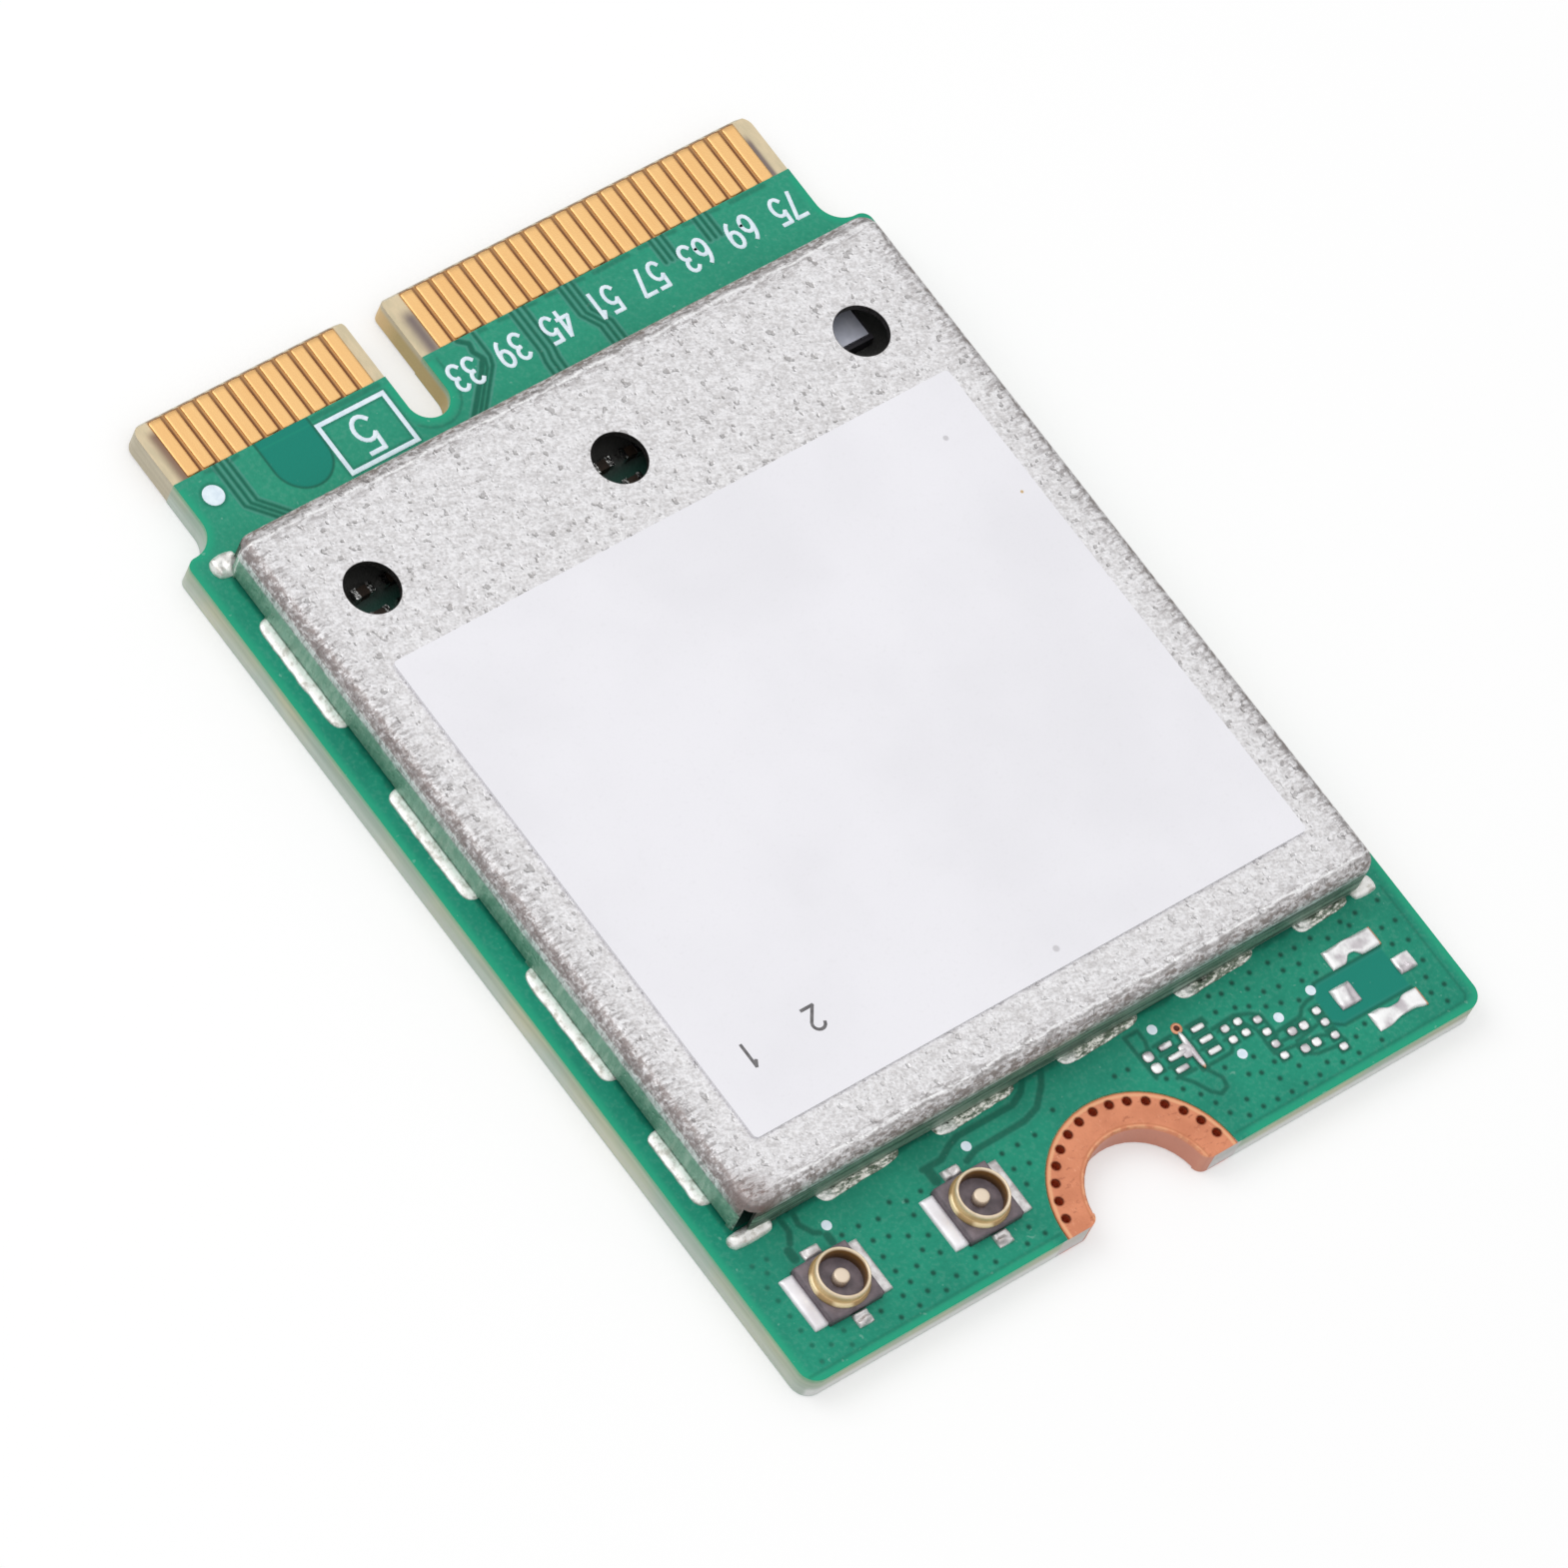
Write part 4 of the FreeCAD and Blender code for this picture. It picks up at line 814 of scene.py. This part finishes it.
front_feet = [(-7.67, -5.04), (-3.96, -1.33), (0.08, 2.70), (3.92, 6.50), (7.83, 9.62)]
side_feet = [(-9.75, -7.45), (-5.85, -2.30), (-0.10, 3.40), (5.40, 8.90)]
for name, feet, wall, outward, metal, width, height, blunt, seed, narrowing, lump in (
        ("shield_solder_front", front_feet, lid_front, (0, -1), dull_solder, 0.30, 0.07, 9, 11, 0.30, 0.40),
        ("shield_solder_back", front_feet, lid_back, (0, 1), dull_solder, 0.235, 0.07, 9, 31, 0.35, 0.25),
        ("shield_solder_left", side_feet, lid_left, (-1, 0), solder, 0.34, 0.11, 14, 51, 0, 0.05),
        ("shield_solder_right", side_feet, lid_right, (1, 0), solder, 0.32, 0.11, 14, 71, 0, 0.05)):
    strips = []
    for i, foot in enumerate(feet):
        start, end = (((at, wall) if outward[1] else (wall, at)) for at in foot)
        strips.append(solder_strip(start, end, outward, width, height, blunt, seed + i, narrowing, lump))
    show_grids("lumpy_" + name, strips, metal, [name])
beads = [
    pillow((-9.80, -10.90), 1.35, 0.46, 0.22, 0.24, 0.6, 0.16, 0.3, 5, count=25),
    pillow((10.14, -10.88), 0.78, 0.50, 0.13, 0.14, 0.55, 0.02, 0.5, 6, count=25),
    pillow((-10.14, 10.60), 0.86, 0.66, 0.22, 0.30, 0.8, 0.22, 0.28, 7, count=25),
    pillow((10.20, 10.60), 0.70, 0.56, 0.24, 0.28, 0.9, 0.10, 0.3, 8, count=25),
]
show_grids("lumpy_corner_solder", beads, solder, ["shield_solder_corners"])


# Label: matte white paper stuck on the lid, with a faint cockle and soft handling marks.
# Two plain numbers printed near the front left name the antenna sockets below them.

def paper_colour(tree):
    """White paper with a faint cloud of handling, fine fibres and three small specks."""
    body = tint(ramp(blotches(tree, 0.22, 4), 0.35, 0.75), (240, 239, 244), (234, 233, 238))
    body = tint(ramp(blotches(tree, 9, 3), 0.55, 0.8, 0, 0.12), body, (214, 212, 214))
    for x, y, size, mark in ((8.6, 2.05, 0.06, (206, 176, 130)), (7.8, 4.25, 0.10, (206, 204, 208)),
                             (1.2, -8.8, 0.12, (206, 204, 208))):
        body = tint(ramp(away(tree, (x, y, 0)), size * 0.5, size, 1, 0), body, mark)
    return body


def paper_relief(tree):
    """A broad cockle with fine fibres over it."""
    return plus(blotches(tree, 0.4), blotches(tree, 10))


dress("shield_label", finish_material("label_paper", paper_colour, paper_relief, 0.004, 0.6, specular=0.3))


def arc(centre_x, centre_y, radius_x, radius_y, start, end, count=9):
    """Points on an ellipse from one angle to another, in degrees."""
    turn = np.radians(np.linspace(start, end, count))
    return list(zip(centre_x + radius_x * np.cos(turn), centre_y + radius_y * np.sin(turn)))


numerals = {
    "1": [[(0.25, 0.78), (0.52, 1.0)], [(0.52, 1.0), (0.52, 0.0)]],
    "2": [arc(0.5, 0.74, 0.42, 0.26, 165, -30, 10) + [(0.1, 0.0)], [(0.1, 0.0), (0.95, 0.0)]],
    "3": [arc(0.46, 0.76, 0.40, 0.24, 150, -90, 10), arc(0.46, 0.27, 0.46, 0.27, 90, -150, 12)],
    "4": [[(0.72, 0.0), (0.72, 1.0)], [(0.72, 1.0), (0.05, 0.28)], [(0.05, 0.28), (1.0, 0.28)]],
    "5": [[(0.88, 1.0), (0.16, 1.0)], [(0.16, 1.0), (0.12, 0.56)],
          [(0.12, 0.56)] + arc(0.46, 0.34, 0.46, 0.34, 118, -145, 14)],
    "6": [arc(0.5, 0.31, 0.42, 0.31, 0, 360, 17), arc(0.64, 0.36, 0.56, 0.64, 110, 185, 9)],
    "7": [[(0.05, 1.0), (0.95, 1.0)], [(0.95, 1.0), (0.38, 0.0)]],
    "9": [arc(0.5, 0.69, 0.42, 0.31, 0, 360, 17), arc(0.36, 0.64, 0.56, 0.64, -70, 5, 9)],
}


def run_along(points):
    """Distance along a path to each of its points."""
    return np.concatenate([[0], np.cumsum(np.hypot(*np.diff(points, axis=0).T))])


line_across = np.array([-0.5, -0.42, 0, 0.42, 0.5])
line_rise = np.array([0, 1, 1, 1, 0])


def ribbon(path, width, base, rise):
    """A printed line along a path of x and y: five points across, the outer two on the ground.
    Its sides stand off the path along the path's own normal, and both ends are square."""
    slope = np.gradient(path, run_along(path), axis=0)
    slope /= np.hypot(*slope.T)[:, None]
    path = np.concatenate([path[:1] - slope[:1] * width * 0.3, path, path[-1:] + slope[-1:] * width * 0.3])
    slope = np.concatenate([slope[:1], slope, slope[-1:]])
    normal = np.stack([-slope[:, 1], slope[:, 0]], -1)
    flat = path[:, None, :] + (line_across * width)[None, :, None] * normal[:, None, :]
    z = np.broadcast_to(base + line_rise * rise, flat.shape[:2])
    return np.concatenate([flat, z[..., None]], -1)


def smooth_path(points, count):
    """The path with its corners kept, divided into even short runs."""
    run = run_along(points)
    even = np.unique(np.concatenate([np.linspace(0, run[-1], count), run]))
    return np.stack([np.interp(even, run, points[:, i]) for i in (0, 1)], -1)


def numeral(digit, centre, height, width, line, base, rise):
    """A number drawn by strokes, turned to be read from the contact edge."""
    grids = []
    for points in numerals[digit]:
        flat = np.array(centre) - (np.array(points) - 0.5) * (width, height)
        grids.append(ribbon(smooth_path(flat, 16), line, base, rise + 0.0015 * len(grids)))
    return grids


label_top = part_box("shield_label")[1].z * 1000 + 0.001
ink = mottled("label_ink", (92, 90, 92), (120, 118, 120), 6, 0.002, 0.6)
show_grids("label_numbers", numeral("1", (-7.56, -7.37), 0.66, 0.34, 0.09, label_top, 0.003)
           + numeral("2", (-5.45, -7.35), 0.66, 0.42, 0.09, label_top, 0.003), ink, join="")


# Screen print: thick pale ink on the lacquer, with slightly rounded edges. It marks the first contact
# with a dot, numbers every third contact of the long row, and boxes a plain number beside the notch.

def lathe(centre, profile, count=64):
    """A profile of radius and height turned about a point on the board."""
    turn = np.linspace(0, 2 * math.pi, count, endpoint=False)[None, :]
    radius, height = (np.array(values)[:, None] for values in zip(*profile))
    return np.stack([centre[0] + radius * np.cos(turn), centre[1] + radius * np.sin(turn),
                     board_top + height + 0 * turn], -1)


def disc(centre, radius, base, height, count=24):
    """A flat round dot with a rolled edge: radius and height follow a quarter ellipse at the rim."""
    section = [(1, 0), (0.985, 0.55), (0.95, 0.85), (0.88, 1), (0.5, 1), (0, 1)]
    return lathe(centre, [(radius * out, base + height * up) for out, up in section], count)


print_ink = mottled("screen_print", (234, 246, 254), (218, 232, 244), 5, 0.006, 0.5)
print_base = board_top + skin
show_grids("first_contact_dot", [disc((-9.2, 12.38), 0.30, skin, 0.012)], print_ink,
           join="around")
box_low, box_high = (-5.66, 11.21), (-3.58, 12.74)
grow = line_across[:, None] * 0.13
box_x = np.array([box_low[0], box_high[0], box_high[0], box_low[0]]) + grow * (-1, 1, 1, -1)
box_y = np.array([box_low[1], box_low[1], box_high[1], box_high[1]]) + grow * (-1, -1, 1, 1)
box_z = print_base + 0.01 * line_rise[:, None] + 0 * box_x
show_grids("number_box", [np.stack([box_x, box_y, box_z], -1)], print_ink, join="around")
show_grids("boxed_number", numeral("5", (-4.66, 11.96), 1.05, 0.62, 0.13, print_base, 0.01), print_ink,
           join="")
pin_grids = []
for pin in range(33, 76, 6):
    for digit, place in zip(str(pin), (0.14, -0.34)):
        centre = (pin - middle_place) * contact_pitch + place, 12.16
        pin_grids += numeral(digit, centre, 0.76, 0.37, 0.115, print_base, 0.01)
show_grids("contact_numbers", pin_grids, print_ink, join="")


# Antenna sockets: a gold-plated ring pressed into a dark moulding, a centre pin, and tinned tabs
# soldered to the board on both sides, in front and behind.

socket_x, socket_y = (-8.73, -4.26), -13.10


def shell_colour(tree):
    """Pale gold plate, with painted shade: brown inside the ring and on its foot; the foot also carries two
    painted highlights.
    """
    x, y, z = board_parts(tree)
    half_apart = (socket_x[1] - socket_x[0]) / 2
    from_middle = maths("WRAP", less(x, socket_x[0]), half_apart, -half_apart)
    across = less(y, socket_y)
    radius = length(from_middle, across)
    flange = ramp(radius, 0.708, 0.735)
    inner_shade = times(within(radius, 0.4, 0.632, 0.006), ramp(z, 1.43, 1.50, 1, 0))
    body = coats(
        tint(ramp(blotches(tree, 3, 3), 0.3, 0.7), (246, 226, 198), (232, 210, 178)),
        (times(ramp(radius, 0.69, 0.71), ramp(z, 1.40, 1.50, 1, 0)), (244, 206, 150)),
        (flange, (178, 146, 100)))
    # Two painted highlights on the foot, one to the left and one towards the front.
    for east, north in ((-0.962, 0.273), (-0.536, -0.844)):
        toward_highlight = maths("DIVIDE", plus(times(from_middle, east), times(across, north)), radius)
        body = tint(times(ramp(toward_highlight, 0.91, 0.985), flange), body, (255, 232, 186))
    return coats(body, (ramp(radius, 0.25, 0.30, 1, 0), (232, 214, 192)), (inner_shade, (140, 100, 48)))


shell_gold = finish_material("shell_gold", shell_colour, fine_grain, 0.002, 0.34, 0.25)
socket_plastic = mottled("socket_plastic", (124, 112, 118), (98, 89, 95), 3.5, 0.008, 0.5)
tab_white = mottled("tab_white", (252, 250, 254), (230, 226, 230), 1.5, 0.006, 0.35, 0.3)
tab_grey = mottled("tab_grey", (236, 234, 234), (188, 182, 182), 4, 0.008, 0.35, 0.5)
ring_profile = [
    (0.605, 0.28), (0.61, 0.58), (0.615, 0.64), (0.63, 0.69), (0.655, 0.715), (0.675, 0.715), (0.70, 0.69),
    (0.712, 0.64), (0.715, 0.58), (0.712, 0.52), (0.708, 0.47), (0.712, 0.445), (0.735, 0.43), (0.765, 0.41),
    (0.785, 0.375), (0.79, 0.335), (0.775, 0.28), (0.605, 0.28),
]
pin_profile = [(0, 0.57), (0.12, 0.57), (0.18, 0.56), (0.205, 0.54), (0.215, 0.50), (0.215, 0.28), (0, 0.28)]
for label, x in zip(("antenna_1_", "antenna_2_"), socket_x):
    centre = x, socket_y
    show_grids(label + "ring", [lathe(centre, ring_profile)], shell_gold,
               [label + "ground_shell"], "around")
    show_grids(label + "pin", [lathe(centre, pin_profile, 32)], shell_gold,
               [label + "signal_contact"], "around")
    show_grids(label + "moulding", [pillow(centre, 1.70, 1.70, 0.30, 0.04, 0.04, count=15)], socket_plastic,
               [label + "base"])
    show_grids(label + "broad_tab", [pillow((x - 1.03, socket_y), 0.46, 1.58, 0.12, 0.13, 0.05, 0.03, 0.6, 3,
                                            count=17)], tab_white, [label + "solder"])
    show_grids(label + "tinned_tabs", [
        pillow((x + 1.01, socket_y), 0.42, 1.58, 0.12, 0.13, 0.05, 0.03, 0.6, 4, count=17),
        pillow((x + 0.03, socket_y - 1.06), 0.48, 0.40, 0.13, 0.10, 0.15, 0.35, 0.2, 5, count=17),
        pillow((x - 0.02, socket_y + 1.03), 0.56, 0.30, 0.12, 0.08, 0.15, 0.30, 0.25, 6, count=17),
    ], tab_grey, [label + "solder"])


# Bare places for a third socket and its matching network: tinned pads left open in the lacquer,
# each with a dome of solder. A copper eyelet and pale round test points stand beside them.

def pad_colour(tree):
    """Smooth solder: bright with painted grey shading in blotches, painted shade at its foot, and bare copper
    at the outer ends.
    """
    x, y, z = board_parts(tree)
    end = times(ramp(x, 9.50, 9.55), ramp(maths("ABSOLUTE", less(y, spare_y)), 0.5, 0.55))
    foot = times(within(x, 3.1, 3.6, 0.02), within(y, -13.1, -12.87, 0.04))
    return coats(
        tint(ramp(blotches(tree, 1.3, 3), 0.46, 0.64), (250, 250, 250), (200, 194, 198)),
        (ramp(z, board_top + 0.005, board_top + 0.04, 0.85, 0), (84, 86, 74)),
        (times(maths("MAXIMUM", end, foot), 0.8), (224, 158, 108)))


def waisted(pad, middle, reach, depth, side):
    """The pad with one long side, up or down in y, drawn in by depth at middle and less away from it, as the
    exponential of minus the fourth power of the distance over reach."""
    across = np.linspace(-1, 1, len(pad))[:, None]
    pull = depth * np.exp(-((pad[..., 0] - middle) / reach) ** 4) * (1 + side * across) / 2
    return pad - side * pull[..., None] * np.array([0, 1, 0])


spare_x, spare_y = 8.80, -13.11
pad_solder = finish_material("pad_solder", pad_colour, solder_relief, 0.01, 0.30, 0.6)
back_pad, front_pad = (
    pillow((spare_x, spare_y + way * 0.98), 1.64, 0.58, 0.10, 0.14, 0.06, 0.25, 0.6, seed, count=33)
    for way, seed in ((1, 21), (-1, 22)))
show_grids("tinned_spare_pads", [
    waisted(back_pad, spare_x - 0.10, 0.20, 0.20, -1),
    waisted(waisted(front_pad, spare_x - 0.05, 0.30, 0.14, 1), spare_x + 0.15, 0.45, 0.10, -1),
    pillow((spare_x - 0.98, spare_y), 0.66, 0.64, 0.11, 0.14, 0.12, 0.35, 0.35, 23, count=21),
    pillow((spare_x + 0.98, spare_y), 0.58, 0.52, 0.11, 0.14, 0.2, 0.35, 0.35, 24, count=21),
], pad_solder, ["spare_receptacle_pads"])
network = []
for seed, (x, y, width, height) in enumerate(network_pads, 31):
    corner = 0.5 if width > 0.4 else 0.9
    network.append(pillow((x, y), width, height, 0.075, min(width, height) * 0.42, corner, 0.15, 0.2, seed))
show_grids("tinned_network_pads", network, pad_solder, ["matching_network_pads"])


def eyelet_colour(tree):
    """Copper round a plated hole, whose dark is painted: the hole is a flat disc, dark as the shade inside
    it.
    """
    return coats(tint(ramp(blotches(tree, 6, 3), 0.3, 0.7), (240, 172, 136), (216, 142, 104)),
                 (ramp(away(tree, (*network_eyelet, 0)), 0.07, 0.085, 0.95, 0), (64, 22, 12)))


eyelet_copper = finish_material("eyelet_copper", eyelet_colour, fine_grain, 0.003, 0.45, 0.4)
eyelet = [(0.0, skin), (0.07, skin), (0.08, 0.03), (0.10, 0.045), (0.14, 0.035), (0.16, skin)]
show_grids("network_eyelet", [lathe(network_eyelet, eyelet, 24)], eyelet_copper, join="around")
test_points = [(-7.93, -11.67), (-3.46, -11.67), (2.78, -11.42), (4.42, -13.1), (5.9, -12.75), (7.12, -12.55)]
show_grids("test_point_dots", [disc(point, 0.143, skin - 0.002, 0.014, 16) for point in test_points],
           print_ink, ["test_pads"], "around")


# Studio: a plain white floor, a pale sky that is brighter overhead, and one soft lamp.
# The camera stands where the photograph was taken from, with its long lens.

def in_scene(name, data):
    """A new object in the scene."""
    made = bpy.data.objects.new(name, data)
    bpy.context.scene.collection.objects.link(made)
    return made


floor_mesh = bpy.data.meshes.new("floor")
reach, drop = 3.0, -2e-5
floor_mesh.from_pydata([(x * reach, y * reach, drop) for x, y in ((-1, -1), (1, -1), (1, 1), (-1, 1))], [],
                       [(0, 1, 2, 3)])
in_scene("floor", floor_mesh)
white = bpy.data.materials.new("floor_white")
world = bpy.data.worlds.new("studio")
floor_mesh.materials.append(white)
bpy.context.scene.world = world
for surface in (white, world):
    surface.use_nodes = True
    surface.node_tree.nodes.clear()
tree = white.node_tree
rays = put(tree, "LightPath", {}).outputs
seen = plus(rays["Is Camera Ray"], plus(rays["Is Glossy Ray"], rays["Is Transmission Ray"]))
glow = put(tree, "Emission", {"Color": (1, 1, 1, 1), "Strength": times(maths("MINIMUM", seen, 1), 0.38)})
diffuse = put(tree, "BsdfDiffuse", {"Color": (0.62, 0.62, 0.62, 1)})
both = put(tree, "AddShader", {0: diffuse.outputs[0], 1: glow.outputs[0]})
put(tree, "OutputMaterial", {"Surface": both.outputs[0]})
tree = world.node_tree
up = put(tree, "SeparateXYZ", {"Vector": put(tree, "TexCoord", {}).outputs["Generated"]}).outputs["Z"]
sky = plus(0.20, times(0.96, maths("MAXIMUM", up, 0)))
sky = put(tree, "Background", {"Color": (1, 1, 1, 1), "Strength": sky})
put(tree, "OutputWorld", {"Surface": sky.outputs[0]})

lamp = bpy.data.lights.new("soft_box", "AREA")
lamp.shape = "DISK"
lamp.size = 0.32
lamp.energy = 0.42
lamp_object = in_scene("soft_box", lamp)
lamp_object.location = (-0.17, 0.23, 0.30)
lamp_object.rotation_euler = (-lamp_object.location).to_track_quat("-Z", "Y").to_euler()

camera = bpy.data.cameras.new("camera")
camera.sensor_width = 36.0
focal_length, picture_width = 13601, 1569  # in pixels of the photograph
camera.lens = camera.sensor_width * focal_length / picture_width
camera.clip_start = 0.02
camera.clip_end = 20.0
camera_object = in_scene("camera", camera)
right = (0.76421, -0.58802, 0.26499)
above = (0.41603, 0.76338, 0.49414)
behind = (-0.49285, -0.26738, 0.82801)
stand = (-0.166750, -0.091042, 0.278812)
camera_object.matrix_world = Matrix([*zip(right, above, behind, stand), (0, 0, 0, 1)])
bpy.context.scene.camera = camera_object
bpy.context.scene.view_settings.view_transform = "Standard"
